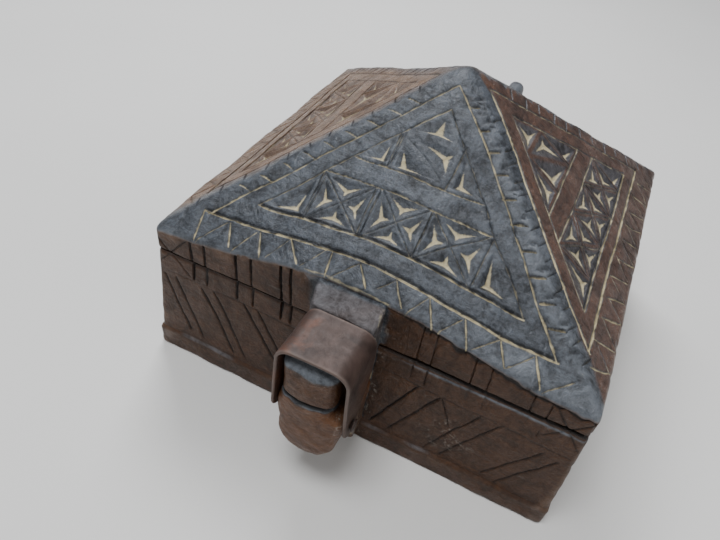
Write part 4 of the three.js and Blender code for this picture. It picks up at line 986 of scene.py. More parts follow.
def knuckle():
    """The rear tongue that turns between the ears: a profile in x and y at each height, closing
    at the top like a thumb and rounded about the pin below."""
    z = np.concatenate([62.3 + 5.7 * (1 - np.cos(np.linspace(0.35, np.pi / 2, 8))),
                        np.linspace(70, 94, 10),
                        94.6 + 5.4 * np.sin(np.linspace(0.1, np.pi / 2, 10))])
    low = np.sqrt(np.maximum(12.3 ** 2 - (np.minimum(z, PIN_Z) - PIN_Z) ** 2, 0.5))
    end = np.where(z < 80, PIN_Y + np.minimum(low + (z > 70) * (z - 70) * 0.9, 21.2), 156.2)
    shut = np.clip((z - 93) / 7.1, 0, 1)
    wide = np.maximum((1 - shut ** 2.4) ** 0.45, 0.3)
    rear = end - 9 * (1 - wide)
    front = np.where(z < 76, PIN_Y - low, 104.0)
    pairs = profile(PIN_X - 5.5 * wide, PIN_X + 5.5 * wide, front, rear, 4.0 + 0 * z)
    points, faces = skin(carried(z, pairs, (0, 1, 2)))
    # Paler towards the top: rubbed wear, and a painted highlight on the upward end.
    worn = smooth(90, 97, points[:, 2]) * 0.8
    return hand_cut(points, 120, 0.12), faces, wood_values(points, 0.2, worn * 0.7)


def rear_block(x0, x1, y1, z0, z1, seed):
    """A plain block that stands out behind: its outline is drawn in along a quarter round over
    the last 2 mm."""
    worn = 2.0
    turn = np.linspace(0, np.pi / 2, 6)[1:]
    y = np.concatenate([np.linspace(103, y1 - worn, 6), y1 - worn + worn * np.sin(turn)])
    past = (y - y1 + worn).clip(0) / worn
    soft = worn * (1 - np.sqrt(np.clip(1 - past ** 2, 0, 1))) + 0.01
    pairs = profile(x0 + soft, x1 - soft, z0 + soft * 0.5, z1 - soft, 1.5 + 0 * y)
    points, faces = skin(carried(y, pairs, (0, 2, 1)))
    return hand_cut(points, seed, 0.15), faces, wood_values(points, 0.7, 0.15)


# %% [markdown]
# ## One block for the lid
# The lid's skin and its lugs are joined with a Boolean union. The values at the points come
# through it, and the Decimate modifier then keeps the finest triangles for the carving.

# %% Join the lid
WOOD_VALUES = ("chalk", "dark", "worn", "below", "tone", "inside")
LID_TRIANGLES = 194000
LID_BLOCK_REAR = 121.6
KNUCKLE_HOLE = 3.4     # radius of the knuckle's hole for the pin


def bored(piece, y, z, radius, x0, x1):
    """A round hole along x, cut out with a Boolean difference."""
    angle = np.linspace(0, 2 * np.pi, 40, endpoint=False)
    round_yz = np.stack([y + radius * np.cos(angle), z + radius * np.sin(angle)], -1)
    points, faces = skin(carried([x0, (x0 + x1) / 2, x1], np.stack([round_yz] * 3), (1, 2, 0)))
    drill = mesh_object("drill", points, faces, wood_values(points, 0.7, dark=0.8))
    cut = piece.modifiers.new("bore", "BOOLEAN")
    cut.operation, cut.solver, cut.object = "DIFFERENCE", "MANIFOLD", drill
    evaluated(piece)
    bpy.data.objects.remove(drill)
    return piece


lid_parts = [lid_shell, front_block(LID_FOOT, BLOCK_TOP, seed=80, tone=0.30, top_wear=0.25),
             upper_tongue(),
             rear_block(PIN_X - 14, PIN_X + 14, LID_BLOCK_REAR, LID_FOOT, BLOCK_TOP, seed=130),
             knuckle()]
carved_lid = united("carved_lid", lid_parts, WOOD_VALUES)
bored(carved_lid, PIN_Y, PIN_Z, KNUCKLE_HOLE, PIN_X - 7, PIN_X + 7)
thinned(carved_lid, LID_TRIANGLES)
print("values kept:", [a.name for a in carved_lid.data.attributes if a.name in WOOD_VALUES])

# %% [markdown]
# ## The box
# The box is one skin as well. A ring with worn corners is carried from the middle of the
# underside out to the plinth, up the leaning walls, over the rim and down inside to the floor.
# The strokes push the wall's points inwards, and the plinth's upper edge is rubbed round.

# %% Rings of the box
WALL_FOOT = 15.0                        # top of the plinth
PLINTH_X, PLINTH_Y = 118.3, 113.9       # half sizes of the plinth
INSIDE_X, INSIDE_Y = 102.0, 97.6        # half sizes of the inside
FLOOR_TOP = 12.0


def box_ring(step):
    """Directions and shares for a rectangle with round corners, with points step mm apart."""
    side = int(2 * HALF_X / step)
    core, way = [], []
    signs = [(1, -1), (1, 1), (-1, 1), (-1, -1)]
    for k, sign in enumerate(signs):
        start = -np.pi / 2 + k * np.pi / 2
        angle = start + np.linspace(0, np.pi / 2, 8)
        core.append(np.tile(sign, (8, 1)).astype(float))
        way.append(np.stack([np.cos(angle), np.sin(angle)], -1))
        t = np.linspace(0, 1, side)[1:-1, None]
        core.append(np.array(sign) + (np.array(signs[(k + 1) % 4]) - np.array(sign)) * t)
        way.append(np.tile([np.cos(angle[-1]), np.sin(angle[-1])], (side - 2, 1)))
    return np.concatenate(core), np.concatenate(way)


def box_path():
    """Half width, half depth, height and corner radius of each ring, from the middle of the
    underside to the middle of the floor; the last column is 1 inside the box."""
    x, y = PLINTH_X, PLINTH_Y
    rows = [(40, 38, 0.0, 2, 0), (80, 77, 0.0, 2, 0), (x - 1.7, y - 1.7, 0.0, 3, 0),
            (x - 0.4, y - 0.4, 0.5, 3, 0)]
    rows += [(x, y, z, 3, 0) for z in np.linspace(1.6, 12.2, 12)]
    rows += [(x - 0.3, y - 0.3, 13.3, 3, 0), (x - 0.8, y - 0.8, 14.1, 3, 0),
             (x - 1.3, y - 1.3, 14.6, 3, 0)]
    lean, wall_top = 2.0, RIM - 2.3
    rows += [(HALF_X + lean * (1 - t), HALF_Y + lean * (1 - t),
              WALL_FOOT + (wall_top - WALL_FOOT) * t, 2.6, 0) for t in np.linspace(0, 1, 84)]
    rows += [(HALF_X, HALF_Y, RIM - down, 2.6, 0)
             for down in (1.8, 1.3, 0.9, 0.55, 0.3, 0.15, 0.05)]
    x, y = INSIDE_X, INSIDE_Y
    rows += [(HALF_X - 1.6, HALF_Y - 1.6, RIM, 2.6, 0), (HALF_X - 7, HALF_Y - 7, RIM, 2, 0),
             (x + 0.8, y + 0.8, RIM, 1.6, 0.5), (x + 0.2, y + 0.2, RIM - 0.4, 1.4, 1)]
    rows += [(x, y, z, 1.4, 1) for z in np.linspace(73, 13, 21)]
    rows += [(x - 0.6, y - 0.6, FLOOR_TOP, 1.4, 1), (60, 57, FLOOR_TOP, 1, 1),
             (20, 19, FLOOR_TOP, 1, 1)]
    return np.array(rows)


print("the box has", len(box_path()), "rings")

# %% The whole box


def box_strokes(plan, z, way, outer):
    """Depth and dark of the strokes on the four walls, at each point of the box's rings."""
    on_x = np.abs(way[:, 0]) > np.abs(way[:, 1])
    wall = np.where(on_x, np.where(way[:, 0] > 0, 1, 3), np.where(way[:, 1] > 0, 2, 0))
    depth, dark = np.zeros(z.shape), np.zeros(z.shape)
    for k in range(4):
        at = np.flatnonzero(wall == k)
        along = (plan[:, at, 1] if k % 2 else -plan[:, at, 0]) * (1 if k in (1, 2) else -1)
        cut = wall_carving(along.ravel(), z[:, at].ravel(), 140 + 10 * k, k == 0)
        depth[:, at] = cut.depth.reshape(z.shape[0], -1) * outer[:, at]
        dark[:, at] = cut.dark.reshape(z.shape[0], -1) * outer[:, at]
    return depth, dark


def box_values(points, dark, inside):
    """What the finish needs at each point: the lip under the seam is rubbed and carries a painted
    highlight, most on the right of the front; so does the plinth's ledge; the corners are rubbed;
    the seam is painted dark as shade, and a dark line runs along the wall's foot."""
    high = points[:, 2]
    corner = np.hypot(np.maximum(np.abs(points[:, 0]) - (HALF_X - 10), 0),
                      np.maximum(np.abs(points[:, 1]) - (HALF_Y - 10), 0))
    lip = smooth(70.9, 71.9, high) * smooth(73.3, 72.7, high)
    right = smooth(5, 40, points[:, 0]) * (points[:, 1] < 0)
    ledge = smooth(12.0, 13.4, high) * smooth(15.6, 14.6, high)
    thin = ledge * np.clip(0.25 + 0.35 * uneven(points, 26, 38), 0, 0.5)
    worn = lip * (0.2 + 0.55 * right) + thin + smooth(12.8, 15.0, corner) * (high < 74) * 0.7
    # Near black just under the rim, most on the right of the front: painted shade in the seam.
    dark = np.maximum(dark, 0.9 * smooth(73.0, 73.6, high) * (0.5 + 0.5 * right))
    dark = np.maximum(dark, 0.35 * smooth(0.9, 0.5, np.abs(high - 15.7)))
    # The lip and the ledge are turned towards black so that the rubbed colour shows on them as a
    # blue-grey line: rubbed wear with a painted highlight.
    tone = WALL_TONE - 0.5 * np.maximum(lip * right, thin * 1.6) - 0.12 * (high < 12.5)
    return {"chalk": np.zeros(len(points)), "dark": dark * (1 - inside),
            "worn": np.clip(worn * (1 - inside), 0, 1), "below": np.full(len(points), 20.0),
            "tone": tone, "inside": np.clip(inside, 0, 1)}


def box_skin(step=0.72):
    """The whole box with its strokes, as one closed skin. Outside, its points are moved sideways
    by long and short waves, and the plinth by a third kind that makes it rough."""
    core, way = box_ring(step)
    path = box_path()
    half = path[:, None, :2]
    radius = path[:, None, 3:4]
    plan = (half - radius) * core + radius * way
    z = np.broadcast_to(path[:, 2:3], plan.shape[:2])
    outer = (path[:, 4] == 0)[:, None] & (z > WALL_FOOT - 1) & (z < RIM - 0.02)
    depth, dark = box_strokes(plan, z, way, outer)
    rim_wear = smooth(72.0, RIM, z) ** 2 * 1.5 * seam_wear(plan) * outer
    depth = depth * smooth(74.6, 73.4, z)
    plan = plan - way * (depth + rim_wear)[..., None]
    points, faces = skin(np.concatenate([plan, z[..., None]], -1))
    dark = np.concatenate([dark.ravel(), [0, 0]])
    inside = np.concatenate([np.repeat(path[:, 4], len(core)), [0, 1]])
    values = box_values(points, dark, inside)
    high = points[:, 2]
    free = ((1 - inside) * (high > 0.05))[:, None]
    move = np.stack([uneven(points, 60, 31 + k) * 0.4 + uneven(points, 9, 35 + k) * 0.12
                     for k in range(2)] + [np.zeros(len(points))], -1)
    rough = (smooth(16, 11, high) * 0.25 * uneven(points, 14, 39))[:, None] * [1, 1, 0]
    return points + (move + rough) * free, faces, values


box_shell = box_skin()
print("box:", len(box_shell[0]), "points before thinning")

# %% The box's lower tongue
_, NAIL_Y, NAIL_Z = pivot("strap_swing")
print("the strap turns about y", NAIL_Y, "mm and z", NAIL_Z, "mm")


def lower_tongue():
    """Plans at rising heights: a full left flank, a blunt bowed nose, and below it the end of a
    finger that was cut away more on the right. The upper lip is rubbed round. It is widest at the
    nails, inside the strap's legs."""
    foot, round_off, lip_round = 26.6, 15.0, 2.3
    shoulder = RIM - lip_round
    z = np.concatenate([foot + round_off * (1 - np.cos(np.linspace(0.16, np.pi / 2, 16))),
                        np.linspace(42.4, 71.8, 24),
                        shoulder + lip_round * np.sin(np.linspace(0.1, np.pi / 2, 9))])
    down = np.clip((foot + round_off - z) / round_off, 0, 1)
    shut = 1 - np.sqrt(1 - down ** 2)
    above = np.maximum(z - shoulder, 0)
    lip = lip_round - np.sqrt(np.maximum(lip_round ** 2 - above ** 2, 0.01))
    nails = smooth(54, 57, z) * smooth(70, 66, z)
    neck = smooth(66, 72, z)
    left = -16.0 - 0.9 * nails + 8.0 * shut + 0.9 * neck + lip
    right = 13.4 + 3.6 * nails - 12.0 * shut - 2.6 * smooth(44, 30, z) - 2.6 * neck - lip
    nose = NOSE + 0.06 * np.maximum(NAIL_Z - z, 0) + 7.5 * shut + lip
    rear = np.interp(z, [26.6, 29.6, 33.6, 35.6], [-141.9, -132.6, -127.6, -122.0])
    pairs = tongue_plan(z, left, right, nose, rear, 4.2 + 2.0 * shut)
    points, faces = skin(carried(z, pairs, (0, 1, 2)))
    front = points[:, 1] < -146
    # A pale blue-grey band on the front of the lip: rubbed wear, and a painted highlight where the
    # round lip turns up.
    lip_wear_and_highlight = smooth(72.0, 73.0, points[:, 2] + 0.7 * uneven(points, 8, 63)) * front
    scuffed = 0.3 * smooth(0.1, 0.9, uneven(points, 8, 64)) * front
    # Near black at the top, under the seam: painted shade.
    dark = 0.95 * smooth(73.1, 73.9, points[:, 2] + 0.4 * uneven(points, 14, 65))
    values = wood_values(points, 0.84 - 0.7 * lip_wear_and_highlight, np.maximum(lip_wear_and_highlight * 0.3, scuffed), dark)
    return hand_cut(points, 60, 0.26), faces, values


# %% The ears
EAR_ROUND = 12.9                        # radius of the ears' fronts about the pin
EARS = (PIN_X - 16.5, PIN_X - 6.0), (PIN_X + 6.0, PIN_X + 16.5)


def ear(x0, x1, seed):
    """An ear for the pin: its outline in y and z keeps its shape, and is drawn in at both cheeks
    where the edges are worn."""
    turn = np.pi - 1.15 * np.linspace(0, 1, 24)
    outline = np.concatenate([
        np.stack([PIN_Y + EAR_ROUND * np.cos(turn), PIN_Z + EAR_ROUND * np.sin(turn)], -1),
        [[143, 86.3], [146.5, 84.6], [149, 81.3], [149, 74], [149, 68.5], [144, 62.5], [134, 55.5],
         [124, 41], [114, 41], [104, 41], [104, 60], [104, 74.3], [113, 74.3]]])
    middle = outline.mean(0)
    x = x0 + (x1 - x0) * np.array([0, 0.03, 0.1, 0.3, 0.5, 0.7, 0.9, 0.97, 1])
    draw = np.array([1.2, 0.5, 0.1, 0, 0, 0, 0.1, 0.5, 1.2])[:, None, None]
    inward = middle - outline
    inward /= np.linalg.norm(inward, axis=1)[:, None]
    pairs = outline + inward * draw
    points, faces = skin(carried(x, pairs, (1, 2, 0)))
    return hand_cut(points, seed, 0.12), faces, wood_values(points, 0.7, 0.2)


# %% Join the box
BOX_TRIANGLES = 150000
BLOCK_FOOT = 17.5
BOX_BLOCK_REAR, BOX_BLOCK_TOP = 124.0, 49.0
EAR_HOLE = 3.2         # radius of the ears' holes for the pin
box_parts = [box_shell,
             front_block(BLOCK_FOOT, RIM - 0.05, seed=81, tone=0.72, top_wear=0.0),
             lower_tongue(),
             rear_block(EARS[0][0], EARS[1][1], BOX_BLOCK_REAR, BLOCK_FOOT, BOX_BLOCK_TOP,
                        seed=131),
             ear(*EARS[0], seed=132), ear(*EARS[1], seed=133)]
carved_box = united("carved_box", box_parts, WOOD_VALUES)
bored(carved_box, PIN_Y, PIN_Z, EAR_HOLE, PIN_X - 18, PIN_X + 18)
thinned(carved_box, BOX_TRIANGLES)

# %% [markdown]
# ## Blackened wood
# The wood was darkened with oil and soot and has been handled for generations. The front slope is
# blue-black with a dull shine, its blue partly a painted reflection of a bluish sky; the right
# slope has worn through to red-brown; the left slope's tan and the warmth of the brown walls are
# partly a painted reflection of warm surroundings; and the edges are rubbed pale, with painted
# highlights and a painted sheen on them. The material mixes these by the values kept at the points.
# Where black meets red it works the border out itself, from the height below the eave and from the
# place in the plan, so that the border stays sharp on large faces. Noises give blotches, specks and
# scratches.

# %% A small kit for materials


class Recipe:
    """One material. Every call adds a node, sets or links its inputs, and gives its output."""

    def __init__(self, name):
        self.material = bpy.data.materials.new(name)
        self.material.use_nodes = True
        self.tree = self.material.node_tree
        self.shader = self.tree.nodes["Principled BSDF"]
        self.place = self.tree.nodes.new("ShaderNodeTexCoord").outputs["Object"]

    def feed(self, socket, value):
        """Links a node's output to the input, or sets the input to a number or a colour."""
        if isinstance(value, bpy.types.NodeSocket):
            self.tree.links.new(value, socket)
        elif socket.type == "RGBA":
            socket.default_value = (*value, 1)
        else:
            socket.default_value = value

    def value(self, name):
        """A value that was kept at the mesh's points."""
        node = self.tree.nodes.new("ShaderNodeAttribute")
        node.attribute_name = name
        return node.outputs["Fac"]

    def noise(self, scale, detail=4, rough=0.55, stretch=None, warp=0.0, turn=(0, 0, 0)):
        """Noise with that many features per metre, or per axis when it is stretched."""
        node = self.tree.nodes.new("ShaderNodeTexNoise")
        place = self.place
        if stretch:
            map_node = self.tree.nodes.new("ShaderNodeMapping")
            map_node.inputs["Scale"].default_value = stretch
            map_node.inputs["Rotation"].default_value = turn
            self.tree.links.new(place, map_node.inputs["Vector"])
            place = map_node.outputs["Vector"]
        self.tree.links.new(place, node.inputs["Vector"])
        for key, value in (("Scale", scale), ("Detail", detail), ("Roughness", rough),
                           ("Distortion", warp)):
            node.inputs[key].default_value = value
        return node.outputs[0]

    def axes(self):
        """Place along x, y and z, in metres."""
        node = self.tree.nodes.new("ShaderNodeSeparateXYZ")
        self.tree.links.new(self.place, node.inputs[0])
        return node.outputs

    def span(self, value, low, high, to_low=0.0, to_high=1.0):
        """The range low to high stretched onto to_low to to_high, and held at its ends."""
        node = self.tree.nodes.new("ShaderNodeMapRange")
        for k, item in enumerate((value, low, high, to_low, to_high)):
            self.feed(node.inputs[k], item)
        return node.outputs[0]

    def math(self, how, first, second=0.0):
        """One operation on two numbers, by Blender's name for it."""
        node = self.tree.nodes.new("ShaderNodeMath")
        node.operation = how
        self.feed(node.inputs[0], first)
        self.feed(node.inputs[1], second)
        return node.outputs[0]

    def plus(self, first, second):
        """The two added."""
        return self.math("ADD", first, second)

    def less(self, first, second):
        """The first without the second."""
        return self.math("SUBTRACT", first, second)

    def times(self, first, second):
        """The two multiplied."""
        return self.math("MULTIPLY", first, second)

    def mix(self, share, first, second):
        """A colour between two others. The Mix node keeps its colours in inputs 6 and 7."""
        node = self.tree.nodes.new("ShaderNodeMix")
        node.data_type = "RGBA"
        self.feed(node.inputs[0], share)
        self.feed(node.inputs[6], first)
        self.feed(node.inputs[7], second)
        return node.outputs[2]

    def bump(self, height, distance, strength=1.0, under=None):
        """Relief of that height in metres, on top of the relief under it."""
        node = self.tree.nodes.new("ShaderNodeBump")
        self.feed(node.inputs["Height"], height)
        node.inputs["Distance"].default_value = distance
        node.inputs["Strength"].default_value = strength
        if under:
            self.tree.links.new(under, node.inputs["Normal"])
        return node.outputs[0]

    def done(self, colour, rough, normal=None, **rest):
        """The finished material; what is the same all over goes straight into the shader."""
        self.feed(self.shader.inputs["Base Color"], colour)
        self.feed(self.shader.inputs["Roughness"], rough)
        if normal:
            self.feed(self.shader.inputs["Normal"], normal)
        for key, value in rest.items():
            self.shader.inputs[key.replace("_", " ")].default_value = value
        return self.material


# %% The wood


def slope_tone(w, blotch):
    """How red each slope shows: 0 in front, 0.9 on the right, 0.6 on the left, 0.3 behind. A slope
    ends where |x| / half width and |y| / half depth are the same; over the right front ridge the
    black goes on as far as the frame line, and over the left ridges it fades out slowly."""
    x, y, _ = w.axes()

    def across_middle(axis, before, after):
        """One value on this side of the box's middle and another beyond it."""
        return w.span(axis, -0.004, 0.004, before, after)

    far_x = w.times(w.math("ABSOLUTE", x), 1 / (HALF_X * MM))
    far_y = w.times(w.math("ABSOLUTE", y), 1 / (HALF_Y * MM))
    turn = w.plus(w.less(far_x, far_y), w.span(blotch, 0.3, 0.7, -0.03, 0.03))
    spill = w.times(across_middle(x, 0.0, 0.085), across_middle(y, 1, 0))
    turn = w.less(turn, spill)
    # The left slope's warm tone stands mostly for a painted reflection of warm surroundings.
    sides = across_middle(x, 0.62, 0.90)
    ends = across_middle(y, 0.0, 0.3)
    across = w.span(turn, 0.0, across_middle(x, 0.16, 0.05))
    return w.plus(w.times(sides, across), w.times(ends, w.span(across, 0, 1, 1, 0)))


def flakes(w, dust):
    """Crumbs of chalk that stuck to the right of the hasp: on the block's flank, and on the front
    wall about 57 mm to the right of the middle and 34 mm up."""
    x, y, z = w.axes()

    def close_to(axis, middle, reach, core):
        """1 within core of the middle, and 0 beyond reach."""
        return w.span(w.math("ABSOLUTE", w.less(axis, middle)), reach, core)

    front = w.span(y, -0.1095, -0.1115)
    wall = w.times(close_to(x, 0.057, 0.017, 0.004), close_to(z, 0.034, 0.016, 0.004))
    flank = close_to(x, 0.0150, 0.0035, 0.0015)
    place = w.times(w.math("MAXIMUM", wall, flank), front)
    crumbs = w.times(w.span(w.noise(150, 5, 0.8, warp=1.2), 0.50, 0.64), dust)
    return w.times(place, w.span(crumbs, 0.20, 0.50, 0.0, 0.7))


def blackened_wood():
    """The wood of the lid and the box. First come the noises, then the tone of each place, then the
    colours, laid over each other: black or warm wood, dark in the cuts, fibres, scratches, rubbed
    places with painted highlights and sheen, the plain inside, near black where the dark value is
    high, which includes painted shade in the seams and under the eave, dust, and cream chalk on
    top."""
    w = Recipe("blackened_wood")
    blotch = w.noise(26, 5, 0.62, warp=0.3)
    mid = w.noise(95, 6, 0.68, warp=0.5)
    specks = w.noise(430, 6, 0.75)
    fine = w.noise(1300, 4, 0.7)
    dust = w.noise(560, 3, 0.6)
    scratches = w.noise(1.0, 3, 0.6, stretch=(45, 900, 300), turn=(0.2, 0.3, 0.7))
    crossing = w.noise(1.0, 3, 0.6, stretch=(700, 50, 300), turn=(0.1, 0.5, 0.35))
    grain = w.noise(1.0, 5, 0.6, stretch=(26, 330, 330))
    on_slope = w.span(w.value("below"), -0.5, 0.3, 1.0, 0.0)
    tone = w.plus(w.times(slope_tone(w, blotch), on_slope),
                  w.times(w.value("tone"), w.span(on_slope, 0, 1, 1, 0)))
    tone = w.plus(tone, w.span(blotch, 0.3, 0.7, -0.10, 0.10))
    patch = w.span(w.plus(w.span(mid, 0, 1, 0, 0.5), w.span(specks, 0, 1, 0, 0.5)), 0.40, 0.60)
    # Black wood; its blue tint is partly a painted reflection of a bluish sky.
    black = w.mix(patch, (0.009, 0.011, 0.015), (0.092, 0.105, 0.125))
    even = w.span(patch, 0, 1, 0.22, 0.80)
    # The brown of the walls: the wood's own, warmed in part as a painted reflection of warm
    # surroundings.
    brown = w.mix(even, (0.012, 0.004, 0.001), (0.084, 0.032, 0.009))
    red = w.mix(patch, (0.020, 0.008, 0.005), (0.115, 0.058, 0.038))
    # Tan of the left slope: mostly a painted reflection of warm surroundings over the wood's brown.
    tan = w.mix(patch, (0.070, 0.033, 0.015), (0.200, 0.110, 0.056))
    warm = w.mix(w.span(w.axes()[0], -0.01, 0.01, 1.0, 0.0), red, tan)
    # The bare brown of the tongues and walls: its orange is partly a painted reflection of warm
    # surroundings.
    bare = w.mix(even, (0.038, 0.012, 0.003), (0.150, 0.058, 0.017))
    brown = w.mix(w.span(w.value("tone"), 0.76, 0.84), brown, bare)
    warm = w.mix(on_slope, brown, warm)
    colour = w.mix(w.span(tone, 0.15, 0.55), black, warm)
    in_cut = w.times(w.span(w.value("dark"), 0.03, 0.12, 0, 0.75), on_slope)
    softer = w.span(w.axes()[0], -0.02, 0.0, w.span(tone, 0.2, 0.5, 1.0, 0.35), 1.0)
    colour = w.mix(w.times(in_cut, softer), colour, black)
    colour = w.mix(w.span(grain, 0.4, 0.75, 0.0, 0.3), colour, (0.012, 0.010, 0.009))
    colour = w.mix(w.span(scratches, 0.66, 0.74, 0.0, 0.22), colour, (0.20, 0.19, 0.18))
    streak = w.times(w.span(crossing, 0.60, 0.70), w.span(on_slope, 0, 1, 0.25, 0.5))
    colour = w.mix(streak, colour, (0.014, 0.013, 0.013))
    # Pale colour of rubbed places, blue-grey on black wood: rubbed wear together with painted
    # highlights and a painted sheen.
    rubbed_and_sheen = w.mix(w.span(tone, 0.2, 0.7), (0.190, 0.208, 0.232), (0.150, 0.090, 0.056))
    wear_and_sheen = w.times(w.value("worn"), w.span(mid, 0.35, 0.65, 0.3, 1.0))
    colour = w.mix(w.span(wear_and_sheen, 0.08, 0.9, 0, 0.72), colour, rubbed_and_sheen)
    plain = w.mix(w.span(grain, 0.3, 0.7), (0.070, 0.040, 0.024), (0.135, 0.082, 0.050))
    colour = w.mix(w.value("inside"), colour, plain)
    # Near black where the dark value is high: dark in the strokes, and painted shade in the seams,
    # under the eave and above the frame lines.
    colour = w.mix(w.span(w.value("dark"), 0.06, 1.0, 0, 0.94), colour, (0.007, 0.006, 0.006))
    chalk = w.plus(w.value("chalk"), w.span(specks, 0.3, 0.7, -0.10, 0.10))
    chalk = w.times(w.span(chalk, 0.2, 0.85), w.span(mid, 0.3, 0.7, 0.72, 1.0))
    cream = w.mix(w.span(specks, 0.3, 0.7), (0.38, 0.31, 0.17), (0.64, 0.56, 0.36))
    colour = w.mix(w.span(dust, 0.70, 0.78, 0, 0.5), colour, (0.34, 0.32, 0.28))
    colour = w.mix(flakes(w, dust), colour, (0.32, 0.29, 0.25))
    colour = w.mix(chalk, colour, cream)
    rough = w.span(patch, 0, 1, 0.42, 0.25)
    rough = w.plus(rough, w.span(on_slope, 0, 1, 0.16, 0.0))
    rough = w.plus(rough, w.span(w.value("inside"), 0, 1, 0, 0.15))
    rough = w.plus(rough, w.span(chalk, 0, 1, 0, 0.4))
    normal = w.bump(fine, 0.00018, 0.6)
    normal = w.bump(specks, 0.0008, 0.65, normal)
    normal = w.bump(crossing, 0.0004, 0.6, normal)
    normal = w.bump(grain, 0.0003, 0.4, normal)
    normal = w.bump(mid, 0.0026, 0.6, normal)
    return w.done(colour, rough, normal, Specular_IOR_Level=0.4)


wood = blackened_wood()
print("the wood has", len(wood.node_tree.nodes), "nodes")
finished(carved_lid, wood, "lid", "carved_wood", "lid")
finished(carved_box, wood, "box", "carved_wood", "box_body")

# %% [markdown]
# ## The iron strap
# The strap is one strip of sheet iron, bent over the tongues while hot. Its section is a thin
# rectangle with rolled edges. That section is carried along the arch, from the round end of one
# leg to that of the other, and gets narrower where the legs do. It swings on the two nails.

# %% The strap
strap_low, strap_high = (corner.round(1) for corner in corners("iron_strap"))
STRAP_TOP = strap_high[2]
STRAP_REAR = strap_high[1]
STRAP_DEPTH = round(strap_high[1] - strap_low[1], 1)
LEG_END = round(NAIL_Z - strap_low[2], 1)       # radius of the round ends of the legs
SHEET, BEND = 1.5, 6.0                          # thickness, and radius inside the bends
STRAP_INSIDE = 16.1                             # half width between the legs, at the top


def arch(inside):
    """The middle line of the sheet in x and z from the right leg's end to the left one's: a
    straight leg, a quarter bend, the top, a bend, a leg; inside is the half width at the top."""
    line = BEND + SHEET / 2
    foot = NAIL_Z - LEG_END
    splay = 1.2 * (STRAP_TOP - SHEET - foot) / 38.5     # 1.2 mm at the nail, 38.5 mm down
    centre_x, centre_z = inside - BEND, STRAP_TOP - SHEET - BEND
    places = [np.linspace(0, 1, 26)[:-1], 1 - np.cos(np.linspace(0.1, 0.9, 8))]
    leg_z = foot + (centre_z - foot) * np.sort(np.concatenate(places))
    share = (centre_z - leg_z) / (centre_z - foot)
    leg = np.stack([centre_x + line + splay * share, leg_z], -1)
    angle = np.linspace(0, np.pi / 2, 12)
    bend = np.stack([centre_x + line * np.cos(angle), centre_z + line * np.sin(angle)], -1)
    top = np.stack([np.linspace(centre_x, 0, 12)[1:], np.full(11, centre_z + line)], -1)
    right = np.concatenate([leg, bend, top])
    left = right[:-1] * [-1, 1]
    return np.concatenate([right, left[::-1]])


def strap_sheet():
    """The section (y, thickness) with round edges carried along the arch, square to it."""
    line = arch(STRAP_INSIDE)
    tangent = np.gradient(line, axis=0)
    tangent /= np.linalg.norm(tangent, axis=1)[:, None]
    normal = np.stack([-tangent[:, 1], tangent[:, 0]], -1)
    height = line[:, 1]
    low, shoulder = NAIL_Z, STRAP_TOP - 15
    down = np.clip((shoulder - height) / (shoulder - low), 0, 1) ** 1.15
    near_end = np.clip((low - height) / LEG_END, 0, 1)
    half = STRAP_DEPTH / 2 + (LEG_END - STRAP_DEPTH / 2) * down
    half = np.where(height < low, LEG_END * np.sqrt(np.clip(1 - near_end ** 2, 0.02, 1)), half)
    rear_middle = STRAP_REAR - STRAP_DEPTH / 2
    middle = (rear_middle + (NAIL_Y - rear_middle) * down)[:, None]
    edge, thick = 0.62, SHEET / 2
    count = 29
    across = np.linspace(-1, 1, count)
    roll = np.linspace(-np.pi / 2, np.pi / 2, 7)[1:-1]
    body = (half - edge)[:, None]
    flat = middle + body * across
    front = middle + body + edge * np.cos(roll)[::-1]
    back = middle - body - edge * np.cos(roll)
    y = np.concatenate([flat, front, flat[:, ::-1], back], 1)
    t = np.concatenate([np.full(count, thick), thick * np.sin(roll)[::-1],
                        np.full(count, -thick), thick * np.sin(roll)])
    rings = np.stack([line[:, :1] - normal[:, :1] * t, y, line[:, 1:] - normal[:, 1:] * t], -1)
    points, faces = skin(rings)
    worked = uneven(points, 26, 201) * 0.28 + uneven(points, 8, 202) * 0.07
    away = np.stack([np.sign(points[:, 0]) * smooth(8, 16, np.abs(points[:, 0])),
                     np.zeros(len(points)), smooth(90, 100, points[:, 2])], -1)
    points = points + away * (worked * 0.55)[:, None]
    points[:, 1] += 0.25 * uneven(points, 18, 203)
    edge_wear = smooth(2.2, 0.2, np.minimum(np.abs(points[:, 1] - STRAP_REAR),
                                            np.abs(points[:, 1] - STRAP_REAR + STRAP_DEPTH)))
    legs = smooth(96, 72, points[:, 2])
    return points, faces, {"edge": edge_wear, "rust": legs}


strap_points, strap_faces, strap_values = strap_sheet()
iron_strap = mesh_object("bent_strap", strap_points, strap_faces, strap_values)
NAIL_HOLE = 1.95
bored(iron_strap, NAIL_Y, NAIL_Z, NAIL_HOLE, -24, 24)
print("strap from", strap_points.min(0).round(1), "to", strap_points.max(0).round(1))

# %% [markdown]
# ## Rusted iron
# Old iron that is handled gets a smooth grey-brown skin, with dark rust where no hand reaches.
# It is made metal only in part: rust is a dull coating, and the bare metal shows on the edges.

# %% The iron


